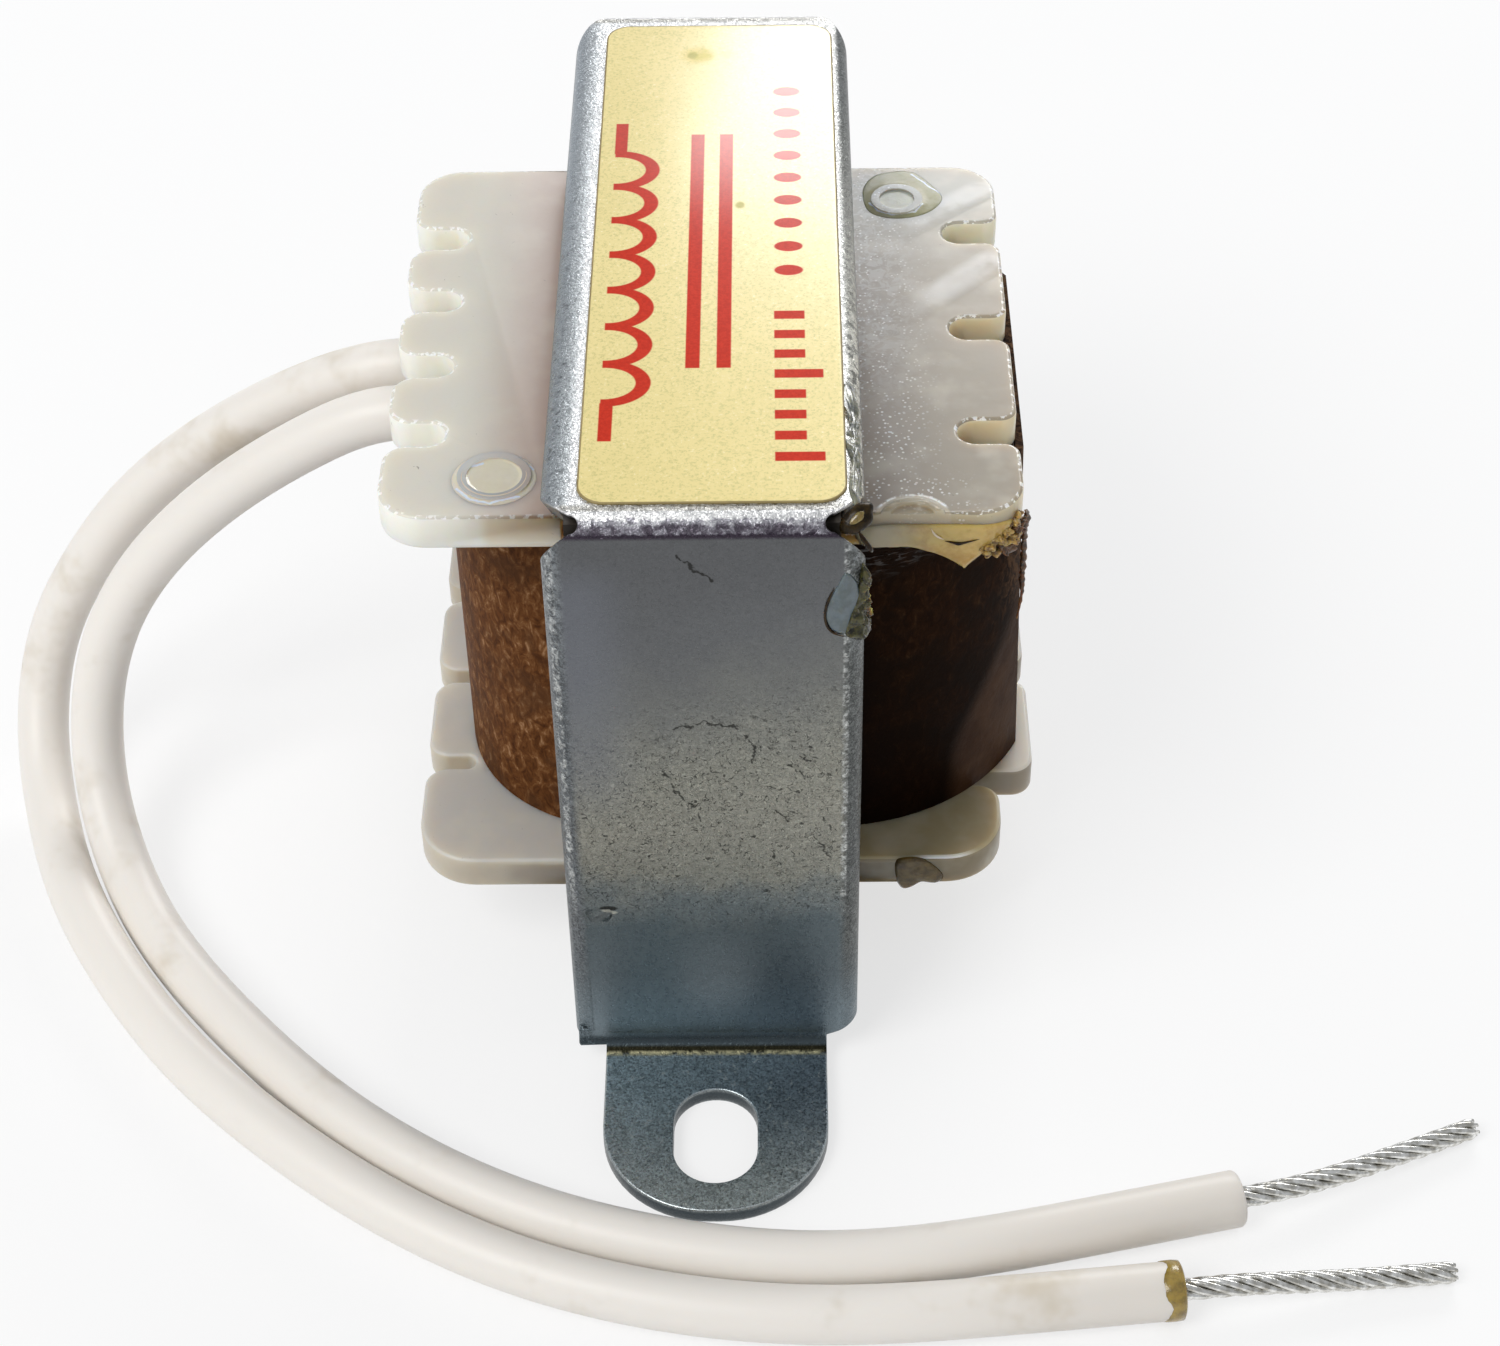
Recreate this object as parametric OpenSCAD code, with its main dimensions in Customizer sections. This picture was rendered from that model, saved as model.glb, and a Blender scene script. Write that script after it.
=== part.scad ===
// Filter choke: a laminated EI core in a folded channel bracket, with a moulded bobbin,
// a paper-wrapped coil and two stranded leads with stripped ends.
// X runs across the bracket, Y from foot to foot and Z up. The origin lies midway between
// the two mounting slots, in the plane that the feet stand on.

/* [Core] */
// Length of an E or I lamination, from foot to foot
core_len = 35; // [32:0.5:40]
// Width of the centre limb
limb_w = 9.6; // [8:0.1:11]
// Width of each outer limb
outer_w = 4.85; // [4:0.05:5.5]
// Height of the window between the E's back and the I
window_h = 19.3; // [16:0.1:24]
// Height of the E's back and of the I
yoke_h = 4.8; // [4:0.1:6]
// Thickness of one lamination
lam_t = 0.5; // [0.35:0.05:0.55]
// Number of laminations in the stack
lam_count = 21; // [16:1:23]
// Thickness of the paper slip in the magnetic gap
gap_t = 0.1; // [0.05:0.05:0.3]
// Height of the core above the mounting plane
core_lift = 1; // [1:0.1:2]

/* [Bracket] */
// Sheet thickness
sheet_t = 0.8; // [0.5:0.1:1]
// Clearance between the stack's faces and the lips, and inside radius of the lips' bends
lip_clear = 0.15; // [0.1:0.05:0.3]
// Clearance between the stack's ends and the legs, and inside radius of the top bends
end_clear = 0.1; // [0.05:0.05:0.2]
// Gap between the top lips and the bobbin's wings below them
lip_seat = 0.05; // [0.05:0.05:0.2]
// Length of a foot from the face of its leg
foot_len = 9.1; // [8.5:0.1:11]
// Width of the shoulder on each side of a foot
shoulder_w = 1.35; // [1:0.05:1.8]
// Height of the left shoulders
shoulder_z = 1; // [0.9:0.1:1.6]
// Height by which the right shoulders slant up to their lip
shoulder_rise = 0.9; // [0.4:0.1:1.5]
// Radius of the foot's outer corners
foot_r = 4.6; // [3:0.1:4.8]
// Inside radius of the bend between leg and foot
foot_bend_r = 0.8; // [0.3:0.1:1]
// Width of a mounting slot
slot_w = 3.6; // [3.2:0.1:4.2]
// Length of a mounting slot
slot_len = 5; // [4.4:0.1:5.4]
// Distance from the leg's face to the middle of the slot
slot_in = 5.1; // [4.6:0.1:5.6]
// Width of the mitre notch at its root
notch_root = 0.7; // [0.4:0.1:1]
// Width of the mitre notch at the outside of the lips
notch_mouth = 2.2; // [1.8:0.1:2.6]
// Depth of the mitre notch from the outside of the lips
notch_depth = 1.55; // [1.2:0.05:1.8]
// Diameter of the slanted staking dent on the front leg
dent_d = 1.05; // [0.5:0.05:1.2]
// Depth of the staking dent at its top
dent_depth = 0.25; // [0.05:0.05:0.4]
// Height of the staking dent above the mounting plane
dent_z = 9.2; // [4:0.1:20]
// Distance of the staking dent from the middle of the leg
dent_x = 4.8; // [0:0.05:5]

/* [Bobbin] */
// Clearance between a flange and the outer limbs
flange_clear = 0.25; // [0.15:0.05:0.6]
// Reach of a wing past the face of the stack
wing_reach = 7.8; // [7:0.1:9]
// Radius of the top flange's corners
flange_r = 2; // [1:0.1:3]
// Radius of the bottom flange's corners
low_flange_r = 2.6; // [1:0.1:3]
// Thickness of a flange inside the window
flange_t = 0.45; // [0.4:0.05:0.8]
// Height by which a wing stands proud of its flange, outside the window
wing_step = 1.2; // [0.8:0.1:1.5]
// Wall of the tube round the centre limb
tube_t = 0.6; // [0.5:0.1:0.8]
// Clearance between the tube and the centre limb
tube_clear = 0.3; // [0.3:0.05:0.4]
// Clearance between a wing and the face of the stack
wing_clear = 0.35; // [0.3:0.05:0.5]
// Play of the bobbin along the window
spool_play = 0.3; // [0.1:0.05:0.5]
// Offset of the bobbin to the left of the stack's middle
bobbin_shift = 0.25; // [0:0.05:0.25]
// Width of a wire notch in the top flange's edge
notch_w = 1.5; // [1:0.1:1.8]
// Depth of a wire notch
notch_d = 2.5; // [1.8:0.1:3]
// Width of a slit in the bottom flange's edge
slit_w = 0.8; // [0.3:0.1:1.5]
// Depth of a slit
slit_d = 2.2; // [1.8:0.1:3]
// Offset of the slits towards the front
slit_shift = 0.3; // [0:0.1:0.4]
// Radius of the teeth's corners, on the bottom flange and at the top left
tooth_r = 1; // [0.3:0.1:1.3]
// Radius of the teeth's corners at the top right
tooth_r_right = 0.7; // [0.3:0.1:1.3]
// Spacing of the four notches at the top left
pitch_four = 4.65; // [4:0.05:5]
// Spacing of the three notches or slits at the right, top and bottom
pitch_right = 7.1; // [6:0.1:7.5]
// Spacing of the three slits at the bottom left
pitch_left = 5.8; // [5:0.1:7]
// Reach of the long teeth at the bottom right, past their flange
long_tooth = 1.65; // [1:0.05:2.5]
// Height of the ejector rings on the top flange
ring_h = 0.15; // [0.1:0.05:0.3]
// Wall of an ejector ring
ring_t = 0.35; // [0.2:0.05:0.5]

/* [Coil] */
// Thickness of the wrapped coil on the tube's left side
build_left = 4.9; // [4:0.1:5.5]
// Thickness of the wrapped coil on the tube's right side
build_right = 7.85; // [6:0.05:8.3]
// Thickness of the wrapped coil towards each leg
build_y = 4.7; // [4:0.1:5]
// Radius of the coil's corners on the left
coil_r_left = 7.2; // [5:0.1:7.4]
// Radius of the coil's corners on the right
coil_r_right = 9.5; // [5:0.1:9.8]
// Reach of the right corners' curve past the flat right side
coil_bulge = 0.95; // [0.5:0.05:1.5]
// Distance by which the flat right side leans in at its top
coil_lean = 0.6; // [0:0.1:1]
// Thickness of the paper wrap
wrap_t = 0.35; // [0.2:0.05:0.6]
// Slack between the winding and what it touches
wind_clear = 0.05; // [0.02:0.01:0.1]

/* [Leads] */
// Diameter of the insulated lead
lead_d = 2.4; // [1.8:0.1:2.4]
// Diameter of the twisted strands
strand_d = 0.9; // [0.7:0.05:1]

/* [Label] */
// Distance from the label's sides to the sides of the bracket
label_side = 1.05; // [1:0.05:2]
// Distance from the label's ends to the ends of the core
label_end = 0.6; // [0.3:0.1:3]
// Thickness of the label
label_t = 0.08; // [0.06:0.01:0.15]
// Radius of the label's corners
label_r = 1.1; // [0.5:0.1:2]
// Offset of the label to the right of the middle
label_shift = 0.2; // [0:0.05:0.2]

/* [Hidden] */
$fn = 48;
past = 1;

// Core: stack thickness and the heights of the limbs, the I and the whole core
stack_t = lam_t * lam_count;
limb_top = core_lift + yoke_h + window_h;
yoke_z = limb_top + gap_t;
core_top = yoke_z + yoke_h;

// Bracket: outside width, outer face of a leg, outside height, bends and feet
bracket_w = stack_t + 2 * (lip_clear + sheet_t);
leg_y = core_len / 2 + end_clear + sheet_t;
bracket_h = core_top + sheet_t;
side_bend_r = lip_clear + sheet_t;
top_bend_r = end_clear + sheet_t;
foot_bend_z = sheet_t + foot_bend_r;
foot_w = bracket_w - 2 * shoulder_w;
foot_end = leg_y + foot_len;
foot_corner_r = min(foot_r, foot_w / 2);
slot_y = leg_y + slot_in;
lip_y = core_len / 2 - outer_w;
mitre_run = (leg_y - lip_y + notch_mouth) * sqrt(2);

// Bobbin: the seat on the E's back, and the outer and inner faces of the flanges
spool_z = core_lift + yoke_h;
spool_h = window_h + gap_t - spool_play;
spool_top = spool_z + spool_h;
wing_top = spool_top + wing_step;
wing_low = spool_z - wing_step;
wing_x = stack_t / 2 + wing_clear;
flange_x = stack_t / 2 + wing_reach;
flange_y = lip_y - flange_clear;
hole_x = stack_t / 2 + tube_clear;
hole_y = limb_w / 2 + tube_clear;
tube_x = hole_x + tube_t;
tube_y = hole_y + tube_t;

// Ejector rings: distance from the wing's outer edge and from its front end, and diameter.
// The wing's end cuts through the first one at the right.
RINGS_LEFT = [[4.7, 2.5, 3]];
RINGS_RIGHT = [[4.55, -0.45, 2.7], [4.45, 22, 2.3]];

// Coil: between the flanges, with its reach to the left, to the right and towards each leg
coil_z = spool_z + flange_t;
coil_h = spool_h - 2 * flange_t;
coil_left = tube_x + bobbin_shift + build_left;
coil_right = tube_x - bobbin_shift + build_right;
coil_y = tube_y + build_y;

// Leads: each leaves the flat left side of the wrap, drops to the mounting plane and runs
// along it, round the front foot. The strands run on from the lead's end and lie down.
LEAD_SIDES = 8;
LEAD_1 = [
    [-11.3, 2, 22.8], [-14, 2, 22.8], [-17.8, 2.5, 21.3], [-22.4, 2.9, 18.4], [-26.4, 3.1, 14.9],
    [-29.6, 3, 10.8], [-31.8, 2, 6.8], [-32.4, -0.8, 3.3], [-31.6, -4.6, 1.5], [-29.8, -9.4, 1.2],
    [-27, -14.4, 1.2], [-23.4, -19.2, 1.2], [-19, -23.5, 1.2], [-14, -27.3, 1.2], [-8.5, -30.3, 1.2],
    [-2.5, -32.2, 1.2], [4.5, -33, 1.2], [11.8, -32.6, 1.2], [19, -31.9, 1.2]
];
LEAD_2 = [
    [-11.3, -1.4, 22.8], [-14, -1.4, 22.8], [-17.5, -1.2, 21.2], [-21.4, -1.2, 18.5], [-24.8, -1.2, 15.2],
    [-27.5, -1.4, 11.2], [-28.9, -2.6, 7], [-28.7, -5.4, 3.4], [-27.2, -9, 1.5], [-24.8, -13.1, 1.2],
    [-21.4, -17.4, 1.2], [-17.3, -21.6, 1.2], [-12.6, -25.2, 1.2], [-7.4, -27.9, 1.2], [-1.8, -29.6, 1.2],
    [4.2, -30.3, 1.2], [10.2, -29.8, 1.2], [16.1, -28.6, 1.2], [21.9, -27.3, 1.2]
];
STRANDS_1 = [[19, -31.9, 1.2], [21, -31.7, 1.2], [25.5, -31.2, 0.8], [30.5, -30.6, 0.5]];
STRANDS_2 = [[21.9, -27.3, 1.2], [23.7, -26.9, 1.2], [28.2, -25.1, 0.8], [32.6, -23.1, 0.5]];

// Names of the pieces
function numbered(name, n) = [for (i = [1 : n]) str(name, i < 10 ? "_0" : "_", i)];
E_NAMES = numbered("e_lamination", lam_count);
I_NAMES = numbered("i_lamination", lam_count);

// Rectangle between two corners, with round corners
module round_rect(low, high, r) {
    translate([low.x + r, low.y]) square([high.x - low.x - 2 * r, high.y - low.y]);
    translate([low.x, low.y + r]) square([high.x - low.x, high.y - low.y - 2 * r]);
    for (x = [low.x + r, high.x - r], y = [low.y + r, high.y - r]) translate([x, y]) circle(r);
}

// Turns a profile drawn in Y and Z into a bar along X
module across(w) {
    rotate([90, 0, 90]) linear_extrude(w, center = true) children();
}

// Draws the rear end and its mirror image at the front
module both_ends() {
    for (end = [0, 1]) mirror([0, end, 0]) children();
}

// Draws the right side and its mirror image at the left
module both_sides() {
    for (side = [0, 1]) mirror([side, 0, 0]) children();
}

// Centre strip seen from the side: top, legs, bends and feet
module strip_profile() {
    difference() {
        translate([-leg_y, foot_bend_z]) square([2 * leg_y, bracket_h - foot_bend_z]);
        round_rect([sheet_t - leg_y, -past], [leg_y - sheet_t, bracket_h - sheet_t], end_clear);
    }
    for (end = [0, 1]) mirror([end, 0]) translate([leg_y + foot_bend_r, 0]) {
        square([foot_len - foot_bend_r, sheet_t]);
        translate([0, foot_bend_z]) intersection() {
            difference() {
                circle(foot_bend_z);
                circle(foot_bend_r);
            }
            translate([-foot_bend_z, -foot_bend_z]) square(foot_bend_z);
        }
    }
}

// Outline of both feet from above, with round outer corners
module foot_plan() {
    round_rect([-foot_w / 2, -foot_end], [foot_w / 2, foot_end], foot_corner_r);
}

// At the left the start of the bend runs on across the shoulder
module strip() {
    intersection() {
        across(foot_w) strip_profile();
        linear_extrude(bracket_h) foot_plan();
    }
    intersection() {
        across(bracket_w - 2 * lip_clear) strip_profile();
        translate([-bracket_w / 2, -foot_end, shoulder_z])
            cube([bracket_w / 2, 2 * foot_end, foot_bend_z + lip_clear - shoulder_z]);
    }
}

// Web with a lip down each side, the outer face of the web on the X axis
module channel_profile(lip) {
    intersection() {
        difference() {
            round_rect([-bracket_w / 2, -2 * lip], [bracket_w / 2, 0], side_bend_r);
            round_rect([sheet_t - bracket_w / 2, -2 * lip], [bracket_w / 2 - sheet_t, -sheet_t], lip_clear);
        }
        translate([-bracket_w / 2, -lip]) square([bracket_w, lip]);
    }
}

module top_channel() {
    intersection() {
        translate([0, 0, bracket_h]) rotate([90, 0, 0])
            linear_extrude(2 * leg_y, center = true) channel_profile(bracket_h - wing_top - lip_seat);
        across(bracket_w) polygon([[-leg_y, bracket_h], [leg_y, bracket_h], [0, bracket_h - leg_y]]);
    }
}

module leg_channel() {
    difference() {
        intersection() {
            translate([0, leg_y, shoulder_z]) linear_extrude(bracket_h - shoulder_z)
                channel_profile(leg_y - lip_y);
            across(bracket_w) polygon([[0, 0], [leg_y, 0], [leg_y, bracket_h], [0, bracket_h - leg_y]]);
        }
        translate([-foot_w / 2, leg_y - sheet_t - past, 0]) cube([foot_w, sheet_t + 2 * past, foot_bend_z]);
    }
}

// Wedge that cuts the lips apart at a corner, along the diagonal of the fold
module mitre_notch() {
    root_x = bracket_w / 2 - notch_depth;
    mouth_x = bracket_w / 2;
    translate([0, leg_y, bracket_h]) rotate([135, 0, 0]) translate([0, 0, -past])
        linear_extrude(mitre_run + past) {
            translate([root_x + notch_root / 2, 0]) circle(d = notch_root);
            polygon([
                [root_x + notch_root / 2, notch_root / 2],
                [mouth_x, notch_mouth / 2],
                [mouth_x + past, notch_mouth / 2],
                [mouth_x + past, -notch_mouth / 2],
                [mouth_x, -notch_mouth / 2],
                [root_x + notch_root / 2, -notch_root / 2]
            ]);
        }
}

// Outer radius of the fold between the top and a leg
module top_bend() {
    across(bracket_w + past) translate([leg_y - top_bend_r, bracket_h - top_bend_r])
        difference() {
            square(top_bend_r + past);
            circle(top_bend_r);
        }
}

module mounting_slot() {
    round_end = (slot_len - slot_w) / 2;
    translate([0, slot_y, -past]) linear_extrude(sheet_t + 2 * past) {
        square([slot_w, 2 * round_end], center = true);
        for (y = [-round_end, round_end]) translate([0, y]) circle(d = slot_w);
    }
}

// Slant of the right shoulder, and the lip that starts above it
module shoulder_cut() {
    high = shoulder_z + shoulder_rise;
    translate([0, leg_y + past, 0]) rotate([90, 0, 0]) linear_extrude(side_bend_r + past)
        polygon([
            [foot_w / 2, 0],
            [foot_w / 2, shoulder_z + shoulder_rise / 3],
            [bracket_w / 2, high],
            [bracket_w / 2 + past, high],
            [bracket_w / 2 + past, 0]
        ]);
    translate([foot_w / 2, 0, 0]) cube([shoulder_w + past, leg_y - side_bend_r, high]);
}

// Round dent with a slanted floor, deepest at its flat top
module staking_dent() {
    intersection() {
        translate([-dent_x, -leg_y - dent_depth / 20, dent_z - dent_d / 2])
            rotate([90 - atan(dent_depth / dent_d), 0, 0])
            translate([0, dent_d / 2, 0]) cylinder(d = dent_d, h = past);
        translate([-dent_x - dent_d, -leg_y - 2 * past, dent_z - dent_d])
            cube([2 * dent_d, 3 * past, 1.28 * dent_d]);
    }
}

module bracket() {
    color("#8d94a4") difference() {
        union() {
            strip();
            top_channel();
            both_ends() leg_channel();
        }
        both_ends() {
            both_sides() mitre_notch();
            top_bend();
            mounting_slot();
            shoulder_cut();
        }
        staking_dent();
    }
}

// One leaf of the stack, counted from the left
module leaf(i) {
    translate([i * lam_t - stack_t / 2, 0, 0]) rotate([90, 0, 90]) linear_extrude(lam_t) children();
}

module e_lamination(i) {
    color(i % 2 == 0 ? "#6f6b66" : "#7a7670") leaf(i) translate([0, core_lift]) {
        translate([-core_len / 2, 0]) square([core_len, yoke_h]);
        translate([-limb_w / 2, 0]) square([limb_w, yoke_h + window_h]);
        for (y = [-core_len / 2, core_len / 2 - outer_w])
            translate([y, 0]) square([outer_w, yoke_h + window_h]);
    }
}

module i_lamination(i) {
    color(i % 2 == 0 ? "#7a7670" : "#6f6b66") leaf(i)
        translate([-core_len / 2, yoke_z]) square([core_len, yoke_h]);
}

module gap_spacer() {
    color("#c9a56b") translate([-stack_t / 2, -core_len / 2, limb_top]) cube([stack_t, core_len, gap_t]);
}

// Slot for a wire, open to the left, with a round inner end and round corners at its mouth
module wire_notch(w, d, r) {
    translate([-past, -w / 2]) square([d - w / 2 + past, w]);
    translate([d - w / 2, 0]) circle(d = w);
    difference() {
        translate([-past, -w / 2 - r]) square([r + past, w + 2 * r]);
        for (y = [-1, 1] * (w / 2 + r)) translate([r, y]) circle(r);
    }
}

function four(pitch) = [-1.5, -0.5, 0.5, 1.5] * pitch;
function three(pitch) = [-1, 0, 1] * pitch;

module top_outline() {
    difference() {
        round_rect([-flange_x, -flange_y], [flange_x, flange_y], flange_r);
        for (y = four(pitch_four)) translate([-flange_x, y]) wire_notch(notch_w, notch_d, tooth_r);
        for (y = three(pitch_right)) translate([flange_x, y]) mirror([1, 0])
            wire_notch(notch_w, notch_d, tooth_r_right);
    }
}

// The two middle teeth at the right reach out past the flange
module bottom_outline() {
    difference() {
        round_rect([-flange_x, -flange_y], [flange_x, flange_y], low_flange_r);
        for (y = three(pitch_left)) translate([-flange_x, y - slit_shift]) wire_notch(slit_w, slit_d, tooth_r);
        for (y = three(pitch_right)) translate([flange_x, y - slit_shift]) mirror([1, 0])
            wire_notch(slit_w, slit_d, tooth_r);
    }
    low = [flange_x - slit_d, slit_w / 2];
    high = [flange_x + long_tooth, pitch_right - slit_w / 2];
    translate([0, -slit_shift]) for (side = [0, 1]) mirror([0, side]) round_rect(low, high, tooth_r);
}

// The parts of a flange that stand outside the window
module wings() {
    difference() {
        children();
        square([2 * wing_x, 2 * (flange_y + past)], center = true);
    }
}

module ejector_ring(d) {
    linear_extrude(ring_h) difference() {
        circle(d = d);
        circle(d = d - 2 * ring_t);
    }
}

module ejector_rings() {
    translate([0, 0, wing_top]) intersection() {
        union() {
            for (r = RINGS_LEFT) translate([r[0] - flange_x, r[1] - flange_y, 0]) ejector_ring(r[2]);
            for (r = RINGS_RIGHT) translate([flange_x - r[0], r[1] - flange_y, 0]) ejector_ring(r[2]);
        }
        linear_extrude(ring_h) top_outline();
    }
}

module bobbin() {
    color("#eee4d8") translate([-bobbin_shift, 0, 0]) {
        difference() {
            union() {
                translate([0, 0, spool_z]) linear_extrude(spool_h)
                    square([2 * tube_x, 2 * tube_y], center = true);
                translate([0, 0, spool_z]) linear_extrude(flange_t) bottom_outline();
                translate([0, 0, wing_low]) linear_extrude(wing_step + flange_t) wings() bottom_outline();
                translate([0, 0, spool_top - flange_t]) linear_extrude(flange_t) top_outline();
                translate([0, 0, spool_top - flange_t]) linear_extrude(wing_step + flange_t)
                    wings() top_outline();
            }
            translate([0, 0, wing_low]) linear_extrude(wing_top - wing_low)
                square([2 * hole_x, 2 * hole_y], center = true);
        }
        ejector_rings();
    }
}

// Coil from above, set in from the outside of the wrap, with the right corners' curve run on
// past the flat right side
module coil_outline(inset) {
    for (side = [0, 1]) mirror([0, side]) {
        translate([coil_r_left - coil_left, coil_y - coil_r_left]) circle(coil_r_left - inset);
        translate([coil_right + coil_bulge - coil_r_right, coil_y - coil_r_right])
            circle(coil_r_right - inset);
        translate([coil_r_left - coil_left, 0])
            square([coil_left - coil_r_left + coil_right + coil_bulge - coil_r_right, coil_y - inset]);
        translate([inset - coil_left, 0]) square([coil_left - inset, coil_y - coil_r_left]);
        square([coil_right + coil_bulge - inset, coil_y - coil_r_right]);
    }
}

// Coil as a solid, set in from the outside of the wrap and made longer at both ends, with its
// flat side leaning in at the top
module coil_solid(inset, longer = 0) {
    side = coil_right - inset;
    lean_past = coil_lean * past / coil_h;
    intersection() {
        translate([0, 0, coil_z - longer]) linear_extrude(coil_h + 2 * longer) coil_outline(inset);
        rotate([90, 0, 0]) linear_extrude(3 * coil_y, center = true) polygon([
            [-coil_left - past, coil_z - past],
            [side + lean_past, coil_z - past],
            [side - coil_lean - lean_past, coil_z + coil_h + past],
            [-coil_left - past, coil_z + coil_h + past]
        ]);
    }
}

module winding() {
    color("#a8622f") difference() {
        coil_solid(wrap_t + wind_clear);
        translate([-bobbin_shift - tube_x - wind_clear, -tube_y - wind_clear, coil_z - past])
            cube([2 * (tube_x + wind_clear), 2 * (tube_y + wind_clear), coil_h + 2 * past]);
    }
}

module coil_wrap() {
    color("#7b5638") difference() {
        coil_solid(0);
        coil_solid(wrap_t, past / 2);
    }
}

// Direction of a route's stretch, and at a point of the route
function unit(v) = v / norm(v);
function stretch(route, i) = unit(route[i + 1] - route[i]);
function heading(route, i) =
    i == 0 ? stretch(route, 0)
    : i == len(route) - 1 ? stretch(route, i - 1)
    : unit(stretch(route, i - 1) + stretch(route, i));

// Direction across the route, carried along it from ring to ring without a twist
function crossing(route, i) =
    let (t = heading(route, i), v = i == 0 ? [0, 0, 1] : crossing(route, i - 1))
    unit(v - (v * t) * t);

// One ring of points round the route
function ring(route, i, r) =
    let (u = crossing(route, i), v = cross(heading(route, i), u))
    [for (j = [0 : LEAD_SIDES - 1])
        let (a = j * 360 / LEAD_SIDES)
        route[i] + r * (cos(a) * u + sin(a) * v)];

// Tube along a route
module tube(route, d) {
    last = len(route) - 1;
    sides = [for (j = [0 : LEAD_SIDES - 1]) j];
    points = [for (i = [0 : last]) each ring(route, i, d / 2)];
    walls = [for (i = [0 : last - 1], j = sides)
        let (a = i * LEAD_SIDES, k = (j + 1) % LEAD_SIDES)
        [a + j, a + LEAD_SIDES + j, a + LEAD_SIDES + k, a + k]];
    far_end = [for (j = sides) last * LEAD_SIDES + LEAD_SIDES - 1 - j];
    polyhedron(points, concat([sides], walls, [far_end]));
}

module lead_wire_1() {
    color("#ece8df") tube(LEAD_1, lead_d);
}

module lead_wire_2() {
    color("#ece8df") tube(LEAD_2, lead_d);
}

module lead_conductor_1() {
    color("#c8c6bf") tube(STRANDS_1, strand_d);
}

module lead_conductor_2() {
    color("#c8c6bf") tube(STRANDS_2, strand_d);
}

module label() {
    half_w = bracket_w / 2 - label_side;
    half_len = core_len / 2 - label_end;
    color("#b39a55") translate([label_shift, 0, bracket_h]) linear_extrude(label_t)
        round_rect([-half_w, -half_len], [half_w, half_len], label_r);
}

bracket();
for (i = [0 : lam_count - 1]) {
    e_lamination(i);
    i_lamination(i);
}
gap_spacer();
bobbin();
winding();
coil_wrap();
lead_wire_1();
lead_wire_2();
lead_conductor_1();
lead_conductor_2();
label();
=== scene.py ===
import functools
import math

import bmesh
import bpy
import numpy as np
from mathutils import Matrix, Vector, noise


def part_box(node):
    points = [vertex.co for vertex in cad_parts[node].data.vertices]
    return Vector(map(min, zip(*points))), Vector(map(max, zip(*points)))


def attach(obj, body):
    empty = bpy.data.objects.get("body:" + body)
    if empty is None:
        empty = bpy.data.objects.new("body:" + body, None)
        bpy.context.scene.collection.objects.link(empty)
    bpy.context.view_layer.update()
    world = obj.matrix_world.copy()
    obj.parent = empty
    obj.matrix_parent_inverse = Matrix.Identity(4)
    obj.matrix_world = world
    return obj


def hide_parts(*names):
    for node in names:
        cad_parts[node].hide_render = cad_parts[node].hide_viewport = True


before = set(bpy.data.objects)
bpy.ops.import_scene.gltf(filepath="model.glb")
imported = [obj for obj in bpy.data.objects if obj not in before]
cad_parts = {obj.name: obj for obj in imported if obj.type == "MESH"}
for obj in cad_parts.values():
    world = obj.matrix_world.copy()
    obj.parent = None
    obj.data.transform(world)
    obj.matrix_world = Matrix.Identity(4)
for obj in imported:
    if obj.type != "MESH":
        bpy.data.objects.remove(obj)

MM = 0.001
TURN = 2 * math.pi
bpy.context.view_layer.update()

# Camera: where it stands, how it is turned, its lens and the width of its sensor
CAMERA_AT = (2.827, -104.168, 103.029)
CAMERA_YAW = -0.728
CAMERA_PITCH = -42.973
CAMERA_ROLL = -0.941
CAMERA_LENS = 72.05
SENSOR_WIDTH = 36

# Floor's half-width in metres, and how white it is to the camera beside its own lit surface
FLOOR_REACH = 1.5
FLOOR_GLOW = 0.68

# Faces that the varnish lies on: the bracket's front leg and top, and the bobbin's wings
LEG_FACE = -18.4
TOP_FACE = 30.8
WING_TOP = 26.1

# Bends of the bracket along its sides: outside radius, where they start, how far round varnish may go
BEND_R = 0.95
BEND_START = 5.25
BEND_REACH = 1.25

# Corner of the top flange at the front right: its radius, and where it starts
CORNER_R = 2.0
CORNER_START = 10.8

# Leads: the points of their routes, and the strands that run on from their ends
LEAD_D = 2.4
STRAND_D = 0.9
LEAD_1 = [
    (-11.3, 2, 22.8), (-14, 2, 22.8), (-17.8, 2.5, 21.3), (-22.4, 2.9, 18.4), (-26.4, 3.1, 14.9),
    (-29.6, 3, 10.8), (-31.8, 2, 6.8), (-32.4, -0.8, 3.3), (-31.6, -4.6, 1.5), (-29.8, -9.4, 1.2),
    (-27, -14.4, 1.2), (-23.4, -19.2, 1.2), (-19, -23.5, 1.2), (-14, -27.3, 1.2), (-8.5, -30.3, 1.2),
    (-2.5, -32.2, 1.2), (4.5, -33, 1.2), (11.8, -32.6, 1.2), (19, -31.9, 1.2),
]
LEAD_2 = [
    (-11.3, -1.4, 22.8), (-14, -1.4, 22.8), (-17.5, -1.2, 21.2), (-21.4, -1.2, 18.5), (-24.8, -1.2, 15.2),
    (-27.5, -1.4, 11.2), (-28.9, -2.6, 7), (-28.7, -5.4, 3.4), (-27.2, -9, 1.5), (-24.8, -13.1, 1.2),
    (-21.4, -17.4, 1.2), (-17.3, -21.6, 1.2), (-12.6, -25.2, 1.2), (-7.4, -27.9, 1.2), (-1.8, -29.6, 1.2),
    (4.2, -30.3, 1.2), (10.2, -29.8, 1.2), (16.1, -28.6, 1.2), (21.9, -27.3, 1.2),
]
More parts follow.
